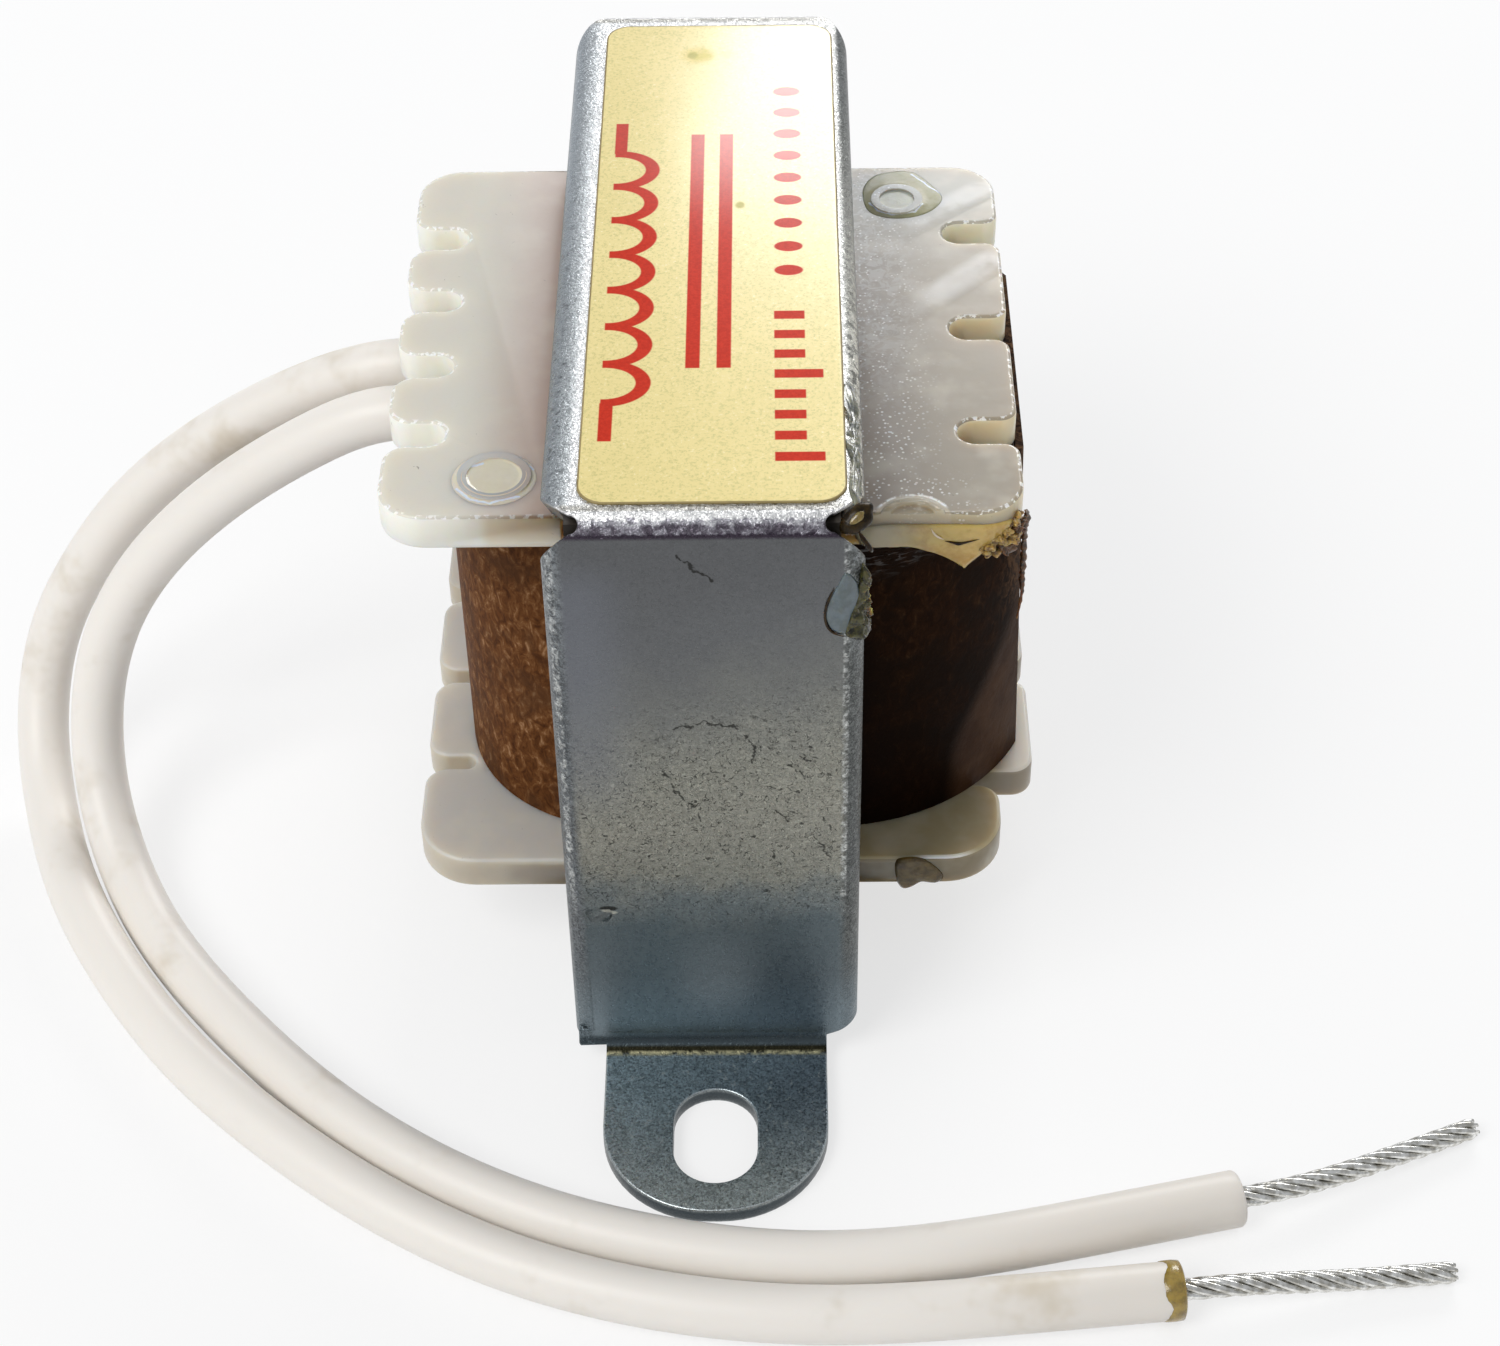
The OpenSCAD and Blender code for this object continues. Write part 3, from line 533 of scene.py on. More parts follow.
def nylon():
    """Milky bobbin plastic, pinker by the bracket; painted light at its walls, painted shade low down and at
    the wet right.
    """
    s = Shader("milky_nylon")
    x, y, z = map(s.axis, "XYZ")
    side = s.size(x)
    flat = s.size(s.facing("Z", "True Normal"))
    front = s.rise(s.facing("Y", "True Normal"), -0.3, -0.8)
    right = s.rise(x, -3, 5)
    by_bracket = s.rise(side, 10.5, 6.2)
    low = s.rise(z, 20, 10)
    cloud = s.noise(2.6)
    left_tone = s.mix(by_bracket, (0.65, 0.63, 0.56), (0.48, 0.355, 0.295))
    right_tone = s.mix((y, -1, -9), (0.33, 0.285, 0.22), (0.29, 0.25, 0.188))
    right_tone = s.mix(by_bracket, right_tone, (0.275, 0.225, 0.18))
    right_tone = s.mix((y, 3, 11), right_tone, (0.38, 0.37, 0.325))
    s.tone = s.mix(right, left_tone, right_tone)
    # The lower flange painted darker as painted shade, amber at the right, and lighter at its right-hand edge
    s.paint(s.mix(right, (0.55, 0.535, 0.5), (0.4, 0.335, 0.2)), low)
    s.paint((0.72, 0.67, 0.6), low, (x, 12.4, 13.4))

    # Walls of the flanges and their notches, warmer and lighter in painted light, and the amber front at the
    # right
    walls = s.rise(flat, 0.6, 0.2)
    notch = s.rise(side, 8.6, 9.2)
    left_wall = s.mix(notch, (0.84, 0.76, 0.62), (0.96, 0.94, 0.86))
    right_notch = s.mix((y, 3, 6), (0.8, 0.7, 0.49), (0.9, 0.86, 0.68))
    right_wall = s.mix(notch, (0.62, 0.53, 0.36), right_notch)
    # Low down the walls are darker: painted shade
    low_wall = s.mix(right, (0.52, 0.47, 0.375), (0.17, 0.135, 0.075))
    s.paint(s.mix(low, s.mix(right, left_wall, right_wall), low_wall), walls, 0.8)
    amber = s.mix((s.plus(z, s.times(cloud, 0.8)), 26.3, 25.2), (0.46, 0.4, 0.27), (0.46, 0.31, 0.11))
    s.paint(amber, walls, front, (x, 2, 6), (z, 24, 24.2), (y, -9.8, -10.8))
    s.paint((0.7, 0.66, 0.55), (cloud, 0.45, 0.75), 0.3)
    dirt = s.rise(s.noise(0.3, detail=2, distortion=1), 0.74, 0.78)
    s.paint((0.12, 0.1, 0.08), dirt, 0.6)

    # Wet skin of varnish over the right wing: wisps and fine bubble bumps by the bracket, and two long wave
    # ridges
    wet = s.times(right, (z, 24, 26))
    wave_far, wave_near = (
        s.near((s.minus(y, s.times(x, slope)), middle, half))
        for slope, middle, half in (WAVE_FAR, WAVE_NEAR)
    )
    wave_near = s.times(wave_near, (y, -0.6, 1.4), (y, 6.0, 5.0))
    waves_and_reflections = s.times(s.most(s.times(wave_far, (y, 4.8, 7.0)), wave_near), (x, 8.2, 10.0))
    crowd = s.most(s.rise(x, 10.2, 7.4), s.times((y, -9.5, -11), (x, 11.5, 9.5), 0.8))
    bubbles_and_glints = s.times((s.cells(0.21), 0.31, 0.2), (s.noise(0.8), 0.38, 0.54), crowd)
    wisps = s.rise(s.noise(0.5, detail=4, rough=0.65, distortion=1.2), 0.46, 0.58)
    s.paint((0.6, 0.6, 0.58), wet, wisps, (x, 9.8, 7.0), (y, -8, 2), 0.5)
    sags = s.noise(2.4, detail=2, rough=0.4)
    skin = s.plus(s.times(waves_and_reflections, 0.3), s.times(bubbles_and_glints, 0.3), s.times(sags, 0.3))
    # White specks on the bubble bumps are painted glints, and the pale bands along the ridges painted
    # reflections
    s.paint((0.93, 0.93, 0.91), wet, bubbles_and_glints, 0.75)
    s.paint((0.86, 0.87, 0.87), wet, waves_and_reflections, (s.noise(1.6), 0.25, 0.6), 0.34)

    # Ring at the front right, lightened inside as painted light against its shade, with painted glints on it
    # and the upper edges
    ring_far = s.far(s.minus(x, FRONT_RING[0]), s.minus(y, FRONT_RING[1]))
    s.paint((0.52, 0.45, 0.33), (ring_far, 1.62, 1.5), wet, 0.75)
    ring_rim = s.band(ring_far, 1.55, 0.05, soft=0.07)
    s.paint((1.0, 1.0, 1.0), ring_rim, (s.noise(0.5), 0.36, 0.5), wet, (y, -12.1, -11.8))
    on_edge = s.times((flat, 0.995, 0.95), (flat, 0.5, 0.65))
    broken = s.rise(s.noise(0.28, detail=2), 0.52, 0.6)
    high_glint = s.times(broken, on_edge, (z, 25.85, 25.95), (ring_far, 1.5, 1.65))
    low_glint = s.times(on_edge, s.band(x, 10.1, 1.1, soft=0.5), (y, -8, -9), s.band(z, 6.2, 0.3))
    s.paint((1.0, 1.0, 0.98), s.most(high_glint, low_glint), 0.8)
    return s.surface(
        Roughness=0.36, IOR=1.5, Subsurface_Weight=0.9,
        Subsurface_Radius=(1.0, 0.76, 0.52), Subsurface_Scale=0.002,
        Coat_Weight=s.plus(s.times(wet, 0.1), 0.2), Coat_Roughness=0.16,
        Normal=s.bump(s.noise(0.9, detail=2), 0.15, 0.05), Coat_Normal=s.bump(skin, 1.0, 0.14),
    )


def kraft():
    """Brown paper soaked in varnish: mottled with light flecks at the left, almost black at the right, soaked
    and in painted shade.
    """
    s = Shader("varnished_kraft")
    x, y, z = map(s.axis, "XYZ")
    fibre = s.noise(0.42, detail=5, rough=0.7, vector=s.stretched((1, 1, 0.6), (0, 35, 0)), distortion=0.8)
    patch = s.noise(2.0, detail=4, rough=0.6)
    s.tone = s.ramp(fibre, [
        (0.34, (0.058, 0.019, 0.006)), (0.5, (0.128, 0.048, 0.015)), (0.6, (0.205, 0.092, 0.036)),
        (0.7, (0.4, 0.23, 0.12)),
    ])
    s.paint((0.075, 0.032, 0.014), (patch, 0.55, 0.35), 0.6)
    # The soaked right side, made darker with painted shade; darker still towards the bottom and beside the
    # bracket
    soaked_shaded_tone = s.ramp(fibre, [
        (0.38, (0.0125, 0.0042, 0.0012)), (0.52, (0.0205, 0.0072, 0.0022)), (0.63, (0.031, 0.0125, 0.0044)),
        (0.74, (0.06, 0.03, 0.013)),
    ])
    soaked_shaded_tone = s.mix(s.times((patch, 0.6, 0.4), 0.75), soaked_shaded_tone, (0.0095, 0.0045, 0.0022))
    soaked_shaded_tone = s.mix(s.times((z, 20, 8), 0.75), soaked_shaded_tone, (0.0045, 0.002, 0.001))
    soaked_shaded_tone = s.mix((x, 7.2, 6.1), soaked_shaded_tone, s.scaled(soaked_shaded_tone, 0.5))
    s.paint(soaked_shaded_tone, (x, 1, 6))

    # Smooth overlap at the far right, partly a painted reflection, the torn edge beside it, and crust under
    # the flange at the left
    lap = s.plus(s.times((z, 8.5, 16.5), 2.7), s.times(patch, 0.5), 10.45)
    smooth = s.rise(s.minus(x, lap), -0.5, 0.55)
    s.paint(s.mix((patch, 0.3, 0.7), (0.034, 0.0135, 0.0055), (0.062, 0.029, 0.0135)), smooth)
    s.paint((0.13, 0.068, 0.034), (x, 12.2, 12.9), (z, 15, 17.5), (fibre, 0.4, 0.62), 0.8)
    s.paint((0.15, 0.07, 0.032), (z, 22.6, 24.2), (y, 13, 5), (x, -2, -6), 0.5)
    wrinkle = s.noise(0.5, vector=s.stretched((0.6, 0.6, 2.4), (0, 12, 0)), distortion=0.8)
    creased = s.times((z, 20.5, 22.5), (x, 9.8, 7.5), (x, 5, 6))
    folds = s.plus(s.times(wrinkle, creased, 2.5), s.times(patch, 0.8), s.times(smooth, -1.0))
    return s.surface(
        Roughness=s.plus(0.46, s.times(fibre, 0.15), s.times(creased, -0.2)),
        Specular_IOR_Level=s.plus(0.02, s.times(creased, (wrinkle, 0.52, 0.62), 0.6), s.times(smooth, 0.03)),
        Normal=s.bump(fibre, 0.7, 0.05, under=s.bump(folds, 0.7, 0.1)),
    )


def pvc():
    """Warm white lead cover with faint stains."""
    s = Shader("white_pvc")
    s.tone = s.mix((s.axis("X"), 6, 17), (0.87, 0.83, 0.775), (0.78, 0.735, 0.675))
    s.paint((0.66, 0.59, 0.48), (s.noise(6, detail=4, rough=0.65), 0.55, 0.8))
    return s.surface(
        Roughness=0.42, IOR=1.5, Subsurface_Weight=0.15,
        Subsurface_Radius=(1.0, 0.8, 0.6), Subsurface_Scale=0.0008, Normal=s.bump(s.noise(0.5), 0.08, 0.04),
    )


def tinned():
    s = Shader("tinned_copper")
    grain = s.noise(0.3)
    s.tone = s.ramp(grain, [(0.35, (0.48, 0.465, 0.42)), (0.65, (0.88, 0.88, 0.86))])
    return s.surface(Metallic=1.0, Roughness=0.24, Normal=s.bump(grain, 0.6, 0.05))


def gold_paper():
    """Pale gold paper under a clear gloss, with fine specks, two stains and a generic print in red."""
    s = Shader("gold_paper")
    x, y = map(s.axis, "XY")
    spark = s.noise(0.13, rough=0.7)
    s.tone = s.mix((s.noise(4), 0.3, 0.8), (0.79, 0.655, 0.245), (0.83, 0.69, 0.27))
    s.paint((0.62, 0.54, 0.18), (spark, 0.5, 0.36))
    s.paint((0.98, 0.9, 0.58), (spark, 0.6, 0.78))
    stains = ((-0.8, 0.32, 14.3, 0.4), (1.38, 0.28, 2.34, 0.34))
    stain = s.most(*(s.near((x, u, reach_u), (y, v, reach_v), soft=0.9) for u, reach_u, v, reach_v in stains))
    matt = s.times(s.most(stain, s.near((x, -0.6, 1.0), (y, 14.3, 0.9))), 0.8)
    streak = s.times(s.near((x, 0.2, 1.5), (y, 14.4, 1.1)), (s.noise(0.7), 0.42, 0.6))
    s.paint((0.36, 0.34, 0.05), stain, 0.7)
    s.paint((0.62, 0.55, 0.1), streak, 0.5)
    ink = red_print(s, x, y)
    s.paint(s.mix((spark, 0.35, 0.65), (0.5, 0.022, 0.006), (0.6, 0.032, 0.01)), ink)
    dull = s.most(matt, s.times(ink, (y, 9, -1), 0.75))
    return s.surface(
        Metallic=0.1, Roughness=0.45, Normal=s.bump(spark, 0.2, 0.02),
        Specular_IOR_Level=s.minus(0.5, s.times(ink, 0.48)),
        Coat_Weight=s.minus(1.0, dull), Coat_Roughness=0.15, Coat_IOR=1.6,
    )


def red_print(s, x, y):
    """1 on the label's print: a coil's symbol, two long bars for its core, and a scale of bars and dots."""
    coil_x = -3.95
    coil_low = -11.2
    loops = 7
    loop_pitch = 2.5
    loop_depth = 1.25
    stroke = 0.27
    end_length = 1.2
    coil_high = coil_low + loops * loop_pitch
    coil_middle = (coil_low + coil_high) / 2
    coil_half = (coil_high - coil_low) / 2

    def step(start, pitch):
        """Distance along the label from the middle of the nearest mark of a row."""
        return s.minus(s.math("FLOORED_MODULO", s.minus(y, start - pitch / 2), pitch), pitch / 2)

    from_axis = s.most(s.minus(x, coil_x), 0.0)
    on_coil = s.math("MINIMUM", s.most(y, coil_low + 0.001), coil_high - 0.001)
    in_loop = s.math("FLOORED_MODULO", s.minus(on_coil, coil_low), loop_pitch)
    along = s.plus(s.size(s.minus(in_loop, loop_pitch / 2)), s.size(s.minus(y, on_coil)))
    loop = s.band(s.far(s.math("DIVIDE", from_axis, loop_depth), along), loop_pitch / 2, stroke * 0.9)
    coil = s.times(loop, (x, coil_x - 0.12, coil_x - 0.06), s.band(y, coil_middle, coil_half + stroke))
    ends = s.band(s.size(s.minus(y, coil_middle)), coil_half + end_length, end_length)
    ends = s.times(ends, s.band(x, coil_x + 0.15, stroke))
    core = s.times(s.band(s.size(s.minus(x, 0.15)), 0.62, 0.29), s.band(y, -0.6, 8.4))

    # Every fourth bar of the scale is long
    bars = [
        s.times(s.band(step(-14.6, pitch), 0, 0.28), s.band(y, -10.05, 4.9), s.band(x, middle, half))
        for pitch, middle, half in ((1.3, 3.4, 0.62), (5.2, 3.75, 0.97))
    ]
    dot = s.rise(s.far(s.times(s.minus(x, 3.4), 0.62), step(-2.4, 1.7)), 0.4, 0.34)
    return s.most(coil, ends, core, *bars, s.times(dot, s.band(y, 4.4, 7.6)))


@functools.cache
def varnish(kind):
    """Impregnating varnish, from the hue of a thin layer to that of a thick one."""
    thin, thick, size, gloss, coat, shine = VARNISHES[kind]
    s = Shader(kind + "_varnish")
    cloud = s.noise(size, detail=4, rough=0.65)
    s.tone = s.mix((cloud, 0.38, 0.66), thin, thick)
    if kind == "amber":
        s.paint((0.44, 0.4, 0.3), (s.axis("X"), 9.6, 6.8), 0.85)
    if kind == "puddle":
        ring = s.near(*((s.axis(name), at, 1.3) for name, at in zip("XY", PUDDLE_RING)), soft=0.5)
        s.paint((0.6, 0.57, 0.47), ring)
    # White strokes as painted glints
    if kind in GLINTS:
        s.paint((1.0, 1.0, 1.0), s.strokes("XY", GLINTS[kind], 0.07, wander=0.15))
    return s.surface(
        Roughness=gloss + 0.1, IOR=1.5,
        Subsurface_Weight=0.5, Subsurface_Radius=(1.0, 0.6, 0.2), Subsurface_Scale=0.0006,
        Coat_Weight=coat, Coat_Roughness=gloss, Specular_IOR_Level=shine, Normal=s.bump(cloud, 0.5, 0.08),
    )


def plain(name, colour, **values):
    """A material of one hue with a fine unevenness."""
    s = Shader(name)
    darker = tuple(c * 0.82 for c in colour)
    s.tone = s.mix((s.noise(0.4), 0.3, 0.7), darker, colour)
    return s.surface(**values)


def white_floor():
    """White to the camera and in reflections, but for the shadows on it."""
    s = Shader("floor")
    s.surface(Base_Color=(0.92, 0.92, 0.92), Roughness=0.9, Specular_IOR_Level=0.2)
    path = s.add("ShaderNodeLightPath").outputs
    seen = s.most(path["Is Camera Ray"], path["Is Glossy Ray"], path["Is Transmission Ray"])
    glow = s.add("ShaderNodeEmission").outputs[0]
    mix = s.add("ShaderNodeMixShader", {0: s.times(seen, FLOOR_GLOW), 1: s.bsdf.outputs[0], 2: glow})
    s.put(s.tree.nodes["Material Output"].inputs["Surface"], mix.outputs[0])
    return s.material


def all_materials():
    return {
        "pvc": pvc(), "tinned": tinned(), "gold": gold_paper(), "nylon": nylon(), "kraft": kraft(),
        "zinc": zinc(), "steel": core_steel(),
        "label_rim": plain("label_rim", (0.34, 0.26, 0.1), Roughness=0.5),
        "slip": plain("gap_paper", (0.6, 0.46, 0.25), Roughness=0.7),
        "copper": plain("varnished_copper", (0.045, 0.018, 0.008), Metallic=0.5, Roughness=0.35),
    }


def linked(name, data):
    """A new object in the scene."""
    o = bpy.data.objects.new(name, data)
    bpy.context.scene.collection.objects.link(o)
    return o


def dressed(name, mesh, material, slot, *nodes):
    """A piece of one smooth material on the part's body, which stands for the given nodes."""
    mesh.name = name
    mesh.materials.clear()
    mesh.materials.append(material)
    mesh.polygons.foreach_set("use_smooth", [True] * len(mesh.polygons))
    o = linked(name, mesh)
    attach(o, "root")
    if nodes:
        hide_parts(*nodes)
    return o


def piece(name, points, faces, material, slot, *nodes):
    """A dressed piece from points in millimetres and faces."""
    mesh = bpy.data.meshes.new(name)
    mesh.from_pydata([tuple(c * MM for c in p) for p in points], [], faces)
    return dressed(name, mesh, material, slot, *nodes)


def lead(name, route, node, strands, strands_node, materials):
    """An insulated lead: a tube with a cut end, and the twisted strands that come out of it."""
    sides = 28
    edge_round = 0.12
    line = smooth_path(route, 0.7)
    along, across, beside = path_frames(line)
    around = LEAD_D / 2 * spokes(across, beside, sides)
    rings = list(line[:, None] + around)
    end = line[-1]
    inward = -along[-1]
    rings[-1] = end + inward * edge_round + around[-1]

    # Rings of the cut end and its bore: how far back each lies, and its share of the radius
    for back, share in ((0.0, 0.93), (0.0, 0.5), (0.9, 0.46), (0.9, 0.02)):
        rings.append(end + inward * back + share * around[-1])
    faces = tube_faces(len(rings), sides)
    tube = piece(name, np.concatenate(rings), faces, materials["pvc"], "lead_cover", node)
    wires = twisted(name + "_strands", strands, strands_node, materials["tinned"])


def twisted(name, route, node, material):
    """Strands twisted round each other, pinched together at the tip."""
    count = 7
    sides = 8
    pitch = 5.2
    pinch = 0.35
    strand_r = STRAND_D / 6.2
    line = smooth_path(route, 0.12)
    _, across, beside = path_frames(line)
    run = run_along(line)
    turn = (run / pitch * TURN)[:, None]
    tip = np.clip((run[-1] - run) / pinch, 0.25, 1) ** 0.5
    around = strand_r * 1.12 * tip[:, None, None] * spokes(across, beside, sides)
    points = []
    faces = []
    for k in range(count):
        orbit = 0 if k == 0 else STRAND_D / 2 - strand_r
        angle = turn + k * TURN / (count - 1)
        centre = line + orbit * (np.cos(angle) * across + np.sin(angle) * beside)
        faces += tube_faces(len(line), sides, base=len(points))
        points += list((centre[:, None] + around).reshape(-1, 3))
    return piece(name, points, faces, material, "tinned_strand", node)


def finer(name, node, material, slot, width, segments, keep=lambda edge: False):
    """The node's own shape with its sharp outer edges rounded off, but for those that keep picks."""
    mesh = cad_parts[node].data.copy()
    bm = bmesh.new()
    bm.from_mesh(mesh)
    bmesh.ops.remove_doubles(bm, verts=bm.verts, dist=0.002 * MM)
    bmesh.ops.dissolve_limit(bm, angle_limit=math.radians(0.5), verts=bm.verts, edges=bm.edges)
    bm.normal_update()
    sharp = [
        e for e in bm.edges
        if len(e.link_faces) == 2 and e.is_convex and e.calc_face_angle(0) > math.radians(35) and not keep(e)
    ]
    bmesh.ops.bevel(bm, geom=sharp, offset=width * MM, segments=segments, profile=0.5, affect="EDGES")
    bm.to_mesh(mesh)
    bm.free()
    o = dressed(name, mesh, material, slot, node)
    even = o.modifiers.new("even_shading", "WEIGHTED_NORMAL")
    even.keep_sharp = True


@functools.cache
def bobbin_box():
    """The bobbin's low and high corner, in metres, measured once."""
    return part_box("bobbin")


def seat_or_tube(edge):
    """True for the edges on top of the bobbin's rings, and for those of its tube."""
    ring_top = bobbin_box()[1].z
    tube_side = 6.3 * MM
    on_ring = max(v.co.z for v in edge.verts) > ring_top - 0.01 * MM
    return on_ring or max(abs(v.co.x) for v in edge.verts) < tube_side


def rounded_outline(half_x, half_y, radius, arc=10):
    """Points of a rectangle with round corners, anticlockwise from above."""
    points = []
    for sx, sy, start in ((1, -1, -90), (1, 1, 0), (-1, 1, 90), (-1, -1, 180)):
        for k in range(arc + 1):
            a = math.radians(start + 90 * k / arc)
            x = sx * (half_x - radius) + radius * math.cos(a)
            points.append((x, sy * (half_y - radius) + radius * math.sin(a)))
    return points


def label(materials):
    """Gold paper with a thin brown edge, stuck down along the bends too."""
    corner_r = 1.1
    shift_left, shift_right, shift_near = 0.2, 0.16, -0.42
    low, high = (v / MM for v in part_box("label"))
    left, right = low.x + shift_left, high.x + shift_right
    near, far = low.y + shift_near, high.y
    points = []
    for inset, z in ((0, low.z), (0.02, high.z), (0.08, high.z)):
        ring = rounded_outline((right - left) / 2 - inset, (far - near) / 2 - inset, corner_r - inset)
        for u, v in ring:
            x = (left + right) / 2 + u
            past = max(0.0, abs(x) - BEND_START)
            fall = BEND_R - math.sqrt(BEND_R ** 2 - past ** 2)
            points.append((x, (near + far) / 2 + v, z - fall))
    o = piece("label_paper", points, tube_faces(3, len(ring)), materials["gold"], "label", "label")
    o.data.materials.append(materials["label_rim"])
    for polygon in o.data.polygons[:2 * len(ring)]:
        polygon.material_index = 1


def blob(name, centre, axes, kind, slot, bumps, size, seed=0.0):
    """A round drop of varnish with an uneven skin. Its three half-axes are vectors in millimetres."""
    bm = bmesh.new()
    bmesh.ops.create_icosphere(bm, subdivisions=4, radius=1)
    points = []
    for v in bm.verts:
        reach = np.array(v.co) @ np.array(axes, float)
        swell = 1 + bumps * noise.noise(Vector(reach / size) + Vector((seed, seed, seed)))
        points.append(np.array(centre) + reach * swell)
    faces = [tuple(v.index for v in f.verts) for f in bm.faces]
    bm.free()
    piece(name, points, faces, varnish(kind), slot)


def closed_curve(points, count):
    """Smooth closed outline through the points."""
    p = np.array(points, float)
    n = len(p)
    line = []
    for k in range(count):
        i, f = divmod(k * n / count, 1)
        a, b, c, d = (p[(int(i) + j - 1) % n] for j in range(4))
        curve = (2 * a - 5 * b + 4 * c - d) * f * f + (3 * b - a - 3 * c + d) * f**3
        line.append(0.5 * (2 * b + (c - a) * f + curve))
    return line


def film(name, outline, count, middle, place, height, kind, slot, rings=10, edge=0.35, rough=0.0,
         size=0.4, relief=lambda u, v: 0):
    """A flat drop of varnish on a surface. Its outline and middle are in the surface's two coordinates, which
    place turns into a point at a given height over the surface. Relief adds to the height."""
    under = -0.02
    points = []
    for k in range(rings):
        inward = k / rings
        rise = min(1.0, inward / edge)
        rise = math.sqrt(max(0.0, 1 - (1 - rise) ** 2))
        for point in closed_curve(outline, count):
            u, v = np.array(middle) + (1 - inward) * (point - middle)
            bump = 1 + rough * noise.fractal(Vector((u, v, height * 7)) / size, 0.8, 2.1, 3)
            points.append(place(u, v, rise * (height * bump + relief(u, v)) if k else under))
    base = len(points)
    points.append(place(*middle, height + relief(*middle)))
    points.append(place(*middle, under))
    faces = [face[::-1] for face in tube_faces(rings, count)[:-2]]
    for i in range(count):
        j = (i + 1) % count
        faces.append((base - count + j, base - count + i, base))
        faces.append((i, j, base + 1))
    o = piece(name, points, faces, varnish(kind), slot)
    bm = bmesh.new()
    bm.from_mesh(o.data)
    bmesh.ops.recalc_face_normals(bm, faces=bm.faces)
    bm.to_mesh(o.data)
    bm.free()


def thread(name, route, r, kind, slot, rough=0.0):
    """A thin round bead of varnish along a route, thinner at its ends."""
    sides = 8
    line = smooth_path(route, 0.1)
    _, across, beside = path_frames(line)
    points = []
    for i, row in enumerate(r * spokes(across, beside, sides)):
        taper = min(1.0, 0.25 + 3.0 * min(i, len(line) - 1 - i) / len(line))
        for spoke in row:
            swell = 1 + rough * noise.noise(Vector(line[i] + spoke) / 0.25)
            points.append(line[i] + taper * swell * spoke)
    piece(name, points, tube_faces(len(line), sides), varnish(kind), slot)


def collar(name, route):
    """Varnish round the cut end of a lead, with an uneven edge."""
    count = 40
    # Rings: how far back from the end each lies, and its radius
    rows = ((0.75, 1.19), (0.68, 1.235), (0.3, 1.25), (0.0, 1.22), (-0.07, 1.1), (-0.09, 0.8), (-0.06, 0.5))
    end = np.array(route[-1])
    along = Vector(end - np.array(route[-2])).normalized()
    side = along.cross((0, 0, 1)).normalized()
    around = spokes(np.array([side]), np.array([side.cross(along)]), count)[0]
    points = []
    for back, r in rows:
        for spoke in around:
            sway = 0.35 * noise.noise(Vector(spoke) * 1.7) * min(1.0, max(0.0, back) / 0.6)
            points.append(end - np.array(along) * (back + sway) + r * spoke)
    piece(name, points, tube_faces(len(rows), count)[:-2], varnish("collar"), "lead_cover")


def round_bend(u, h, start, r, reach):
    """Place and depth that a point u along a face and h over it comes to, as the face bends away from start
    on with radius r. Reach is how far round it may go, in radians."""
    if u <= start:
        return u, -h
    a = min((u - start) / r, reach)
    return start + (r + h) * math.sin(a), r - (r + h) * math.cos(a)


def on_leg_edge(x, z, h):
    """A point over the front leg at the right, round the bend of its lip."""
    x, depth = round_bend(x, h, BEND_START, BEND_R, BEND_REACH)
    return x, LEG_FACE + depth, z


def on_top_edge(x, y, h):
    """A point over the top at the right, round the bend of its lip."""
    x, depth = round_bend(x, h, BEND_START, BEND_R, BEND_REACH)
    return x, y, TOP_FACE - depth


def on_flange_front(run, z, h):
    """A point over the flanges' front face, round their corner at the right."""
    x, depth = round_bend(run, h, CORNER_START, CORNER_R, math.pi / 2)
    return x, bobbin_box()[0].y / MM + depth, z


def on_wing(x, y, h):
    return x, y, WING_TOP + h


def ring_relief(centre, r, h, w):
    """Height of a round ridge under a film."""
    return lambda u, v: h * math.exp(-((math.hypot(u - centre[0], v - centre[1]) - r) / w) ** 2)


def flange_varnish():
    """Varnish on the bobbin: a skirt and crumbs at the front right, a puddle, a pool, and a drop below."""
    film("varnish_skirt", SKIRT, 110, (9.9, 24.8), on_flange_front, 0.12, "amber", "bobbin",
         rings=14, edge=0.3, rough=0.5, size=1.1)

    def on_skirt(run, z, h):
        return on_flange_front(run, z, 0.13 + h)

    film("varnish_fold", SKIRT_FOLD, 40, (10.15, 24.66), on_skirt, 0.03, "brown", "bobbin",
         rings=4)
    # A thin pale thread as a painted highlight along the skirt
    streak = [on_flange_front(u, v, 0.15) for u, v in SKIRT_GLINT]
    thread("varnish_glint_streak", streak, 0.045, "milky", "bobbin")
    for k, (run, z, h, r) in enumerate(CRUMBS):
        kind = "golden_crumb" if k < GOLDEN_CRUMBS or k % 4 == 0 else "crumb"
        axes = [(r, 0, 0), (0, r * 0.85, 0), (0, 0, r * 0.8)]
        blob(f"varnish_crumb_{k + 1:02d}", on_flange_front(run, z, h), axes, kind, "bobbin",
             bumps=1.0, size=0.2, seed=k * 3.7)
    thread("torn_paper_edge", TORN_EDGE, 0.13, "crumb", "wrap_paper", rough=0.9)
    film("varnish_puddle", PUDDLE, 96, (8.35, 9.75), on_wing, 0.05, "puddle", "bobbin",
         rings=30, edge=0.5, relief=ring_relief(PUDDLE_RING, 1.1, h=0.05, w=0.22))
    pool = [np.add(POOL_MIDDLE, (1.75 * math.cos(a), 1.72 * math.sin(a))) for a in np.arange(12) / 12 * TURN]
    film("varnish_ring_pool", pool, 96, POOL_MIDDLE, on_wing, 0.03, "milky", "bobbin",
         rings=36, relief=ring_relief(POOL_RING, 1.33, h=0.13, w=0.2))
    film("varnish_low_drop", LOW_DROP, 48, (8.8, 5.4), on_flange_front, 0.14, "olive_clear",
         "bobbin", edge=0.6, rough=0.4, size=0.7)


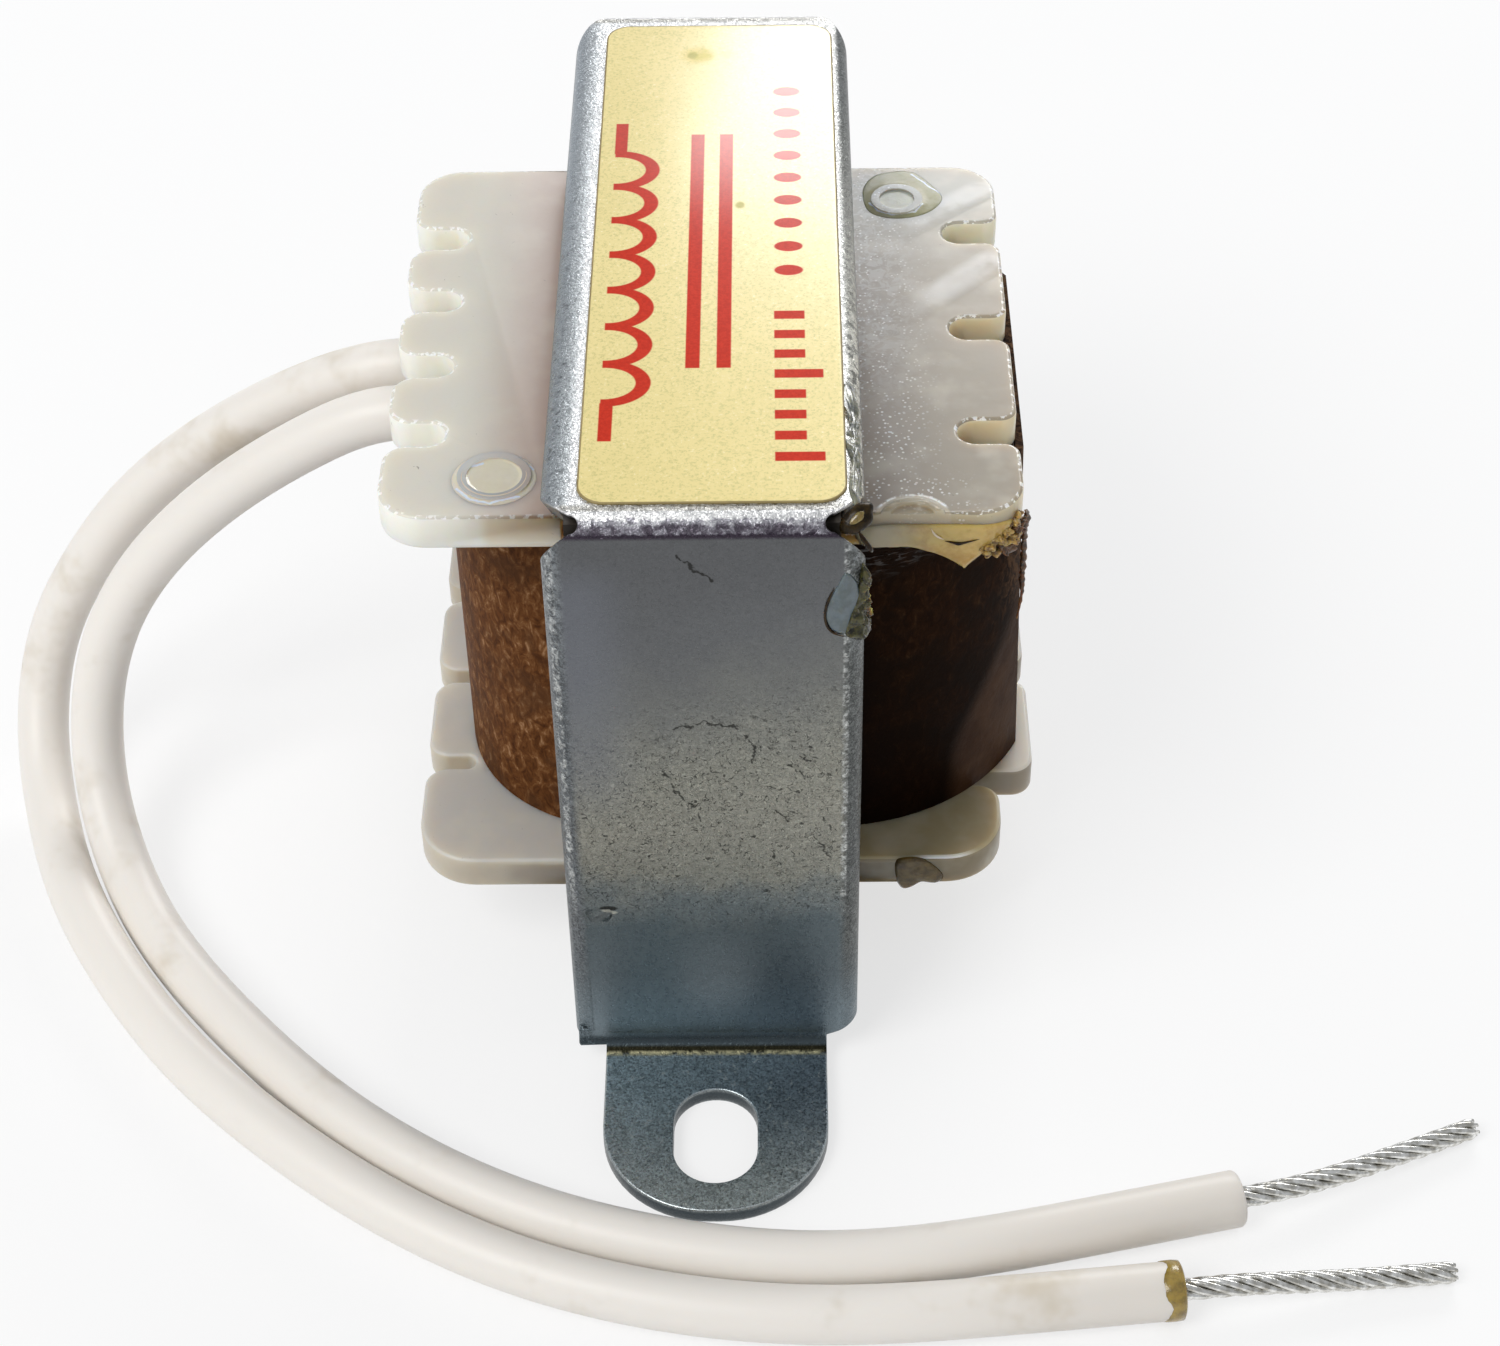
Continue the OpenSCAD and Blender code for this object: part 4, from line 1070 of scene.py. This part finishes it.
def bracket_varnish():
    """Varnish on the bracket at the front right: a bead on the mitre notch, and smears on both bends."""
    bead_axes = [(0.66, 0.37, 0.4), (-0.29, 0.23, 0.25), (0, -0.24, 0.22)]
    blob("varnish_bead", (5.86, -17.75, 30.42), bead_axes, "brown", "bracket", bumps=0.3, size=0.6)
    core_axes = [(0.3, 0.17, 0.18), (-0.1, 0.08, 0.09), (0, -0.06, 0.05)]
    blob("varnish_bead_core", (5.84, -17.98, 30.62), core_axes, "honey", "bracket",
         bumps=0.3, size=0.3)
    thread("varnish_tail", BEAD_TAIL, 0.1, "brown", "bracket")
    film("varnish_smear", LEG_SMEAR, 110, (6.12, 26.2), on_leg_edge, 0.26, "olive", "bracket",
         rings=16, edge=0.5, rough=1.1, size=0.42)
    film("varnish_film", LEG_FILM, 80, (5.4, 26.5), on_leg_edge, 0.07, "blue_film", "bracket",
         edge=0.25, rough=0.6, size=0.7)
    crack = [(x, LEG_FACE - 0.05, z) for x, z in FILM_CRACK]
    thread("varnish_crack", crack, 0.05, "brown", "bracket")
    film("varnish_lip_smear", LIP_SMEAR, 120, (5.88, -13.4), on_top_edge, 0.09, "lip_smear",
         "bracket", rings=12, edge=0.5, rough=1.2, size=0.5)


def make_camera():
    yaw, pitch, roll = map(math.radians, (CAMERA_YAW, CAMERA_PITCH, CAMERA_ROLL))
    forward = Vector((math.sin(yaw) * math.cos(pitch), math.cos(yaw) * math.cos(pitch), math.sin(pitch)))
    side = forward.cross(Vector((0, 0, 1))).normalized()
    top = side.cross(forward)
    right = side * math.cos(roll) + top * math.sin(roll)
    up = -side * math.sin(roll) + top * math.cos(roll)
    data = bpy.data.cameras.new("camera")
    data.lens = CAMERA_LENS
    data.sensor_width = SENSOR_WIDTH
    data.clip_start = 0.005
    data.clip_end = 5
    camera = linked("camera", data)
    turned = Matrix((right, up, -forward)).transposed().to_4x4()
    camera.matrix_world = Matrix.Translation(Vector(CAMERA_AT) * MM) @ turned
    bpy.context.scene.camera = camera


def area_light(name, at, target, size, watts, colour=(1, 1, 1)):
    data = bpy.data.lights.new(name, "AREA")
    data.shape = "RECTANGLE"
    data.size, data.size_y = size
    data.energy = watts
    data.color = colour
    o = linked(name, data)
    o.location = at
    o.rotation_euler = (Vector(target) - Vector(at)).to_track_quat("-Z", "Y").to_euler()


def studio():
    """Pale floor, even sky and two soft lights, with their places and sizes in metres."""
    scene = bpy.context.scene
    scene.view_settings.view_transform = "Standard"
    scene.world = bpy.data.worlds.new("studio")
    scene.world.use_nodes = True
    sky = scene.world.node_tree.nodes["Background"]
    sky.inputs["Color"].default_value = (0.95, 0.97, 1.0, 1)
    sky.inputs["Strength"].default_value = 0.5
    r = FLOOR_REACH
    mesh = bpy.data.meshes.new("floor")
    mesh.from_pydata([(-r, -r, 0), (r, -r, 0), (r, r, 0), (-r, r, 0)], [], [(0, 1, 2, 3)])
    mesh.materials.append(white_floor())
    linked("floor", mesh)
    area_light("back_window", (0.131, 0.42, 0.25), (0, 0, 0.02), (0.27, 0.15), 0.98)
    area_light("key_softbox", (-0.22, -0.2, 0.36), (0, 0, 0.01), (0.22, 0.22), 1.02, (1, 0.99, 0.97))


def main():
    make_camera()
    materials = all_materials()
    lead("lead_1", LEAD_1, "lead_wire_1", STRANDS_1, "lead_conductor_1", materials)
    lead("lead_2", LEAD_2, "lead_wire_2", STRANDS_2, "lead_conductor_2", materials)
    label(materials)
    finer("bracket_sheet", "bracket", materials["zinc"], "bracket", 0.09, 2)
    finer("bobbin_moulding", "bobbin", materials["nylon"], "bobbin", 0.18, 3, keep=seat_or_tube)
    flange_varnish()
    bracket_varnish()
    collar("varnish_on_lead", LEAD_1)
    dress = {"winding": "copper", "coil_wrap": "kraft", "gap_spacer": "slip"}
    for name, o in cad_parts.items():
        key = "steel" if "lamination" in name else dress.get(name)
        if key:
            o.data.materials.clear()
            o.data.materials.append(materials[key])
    studio()


main()
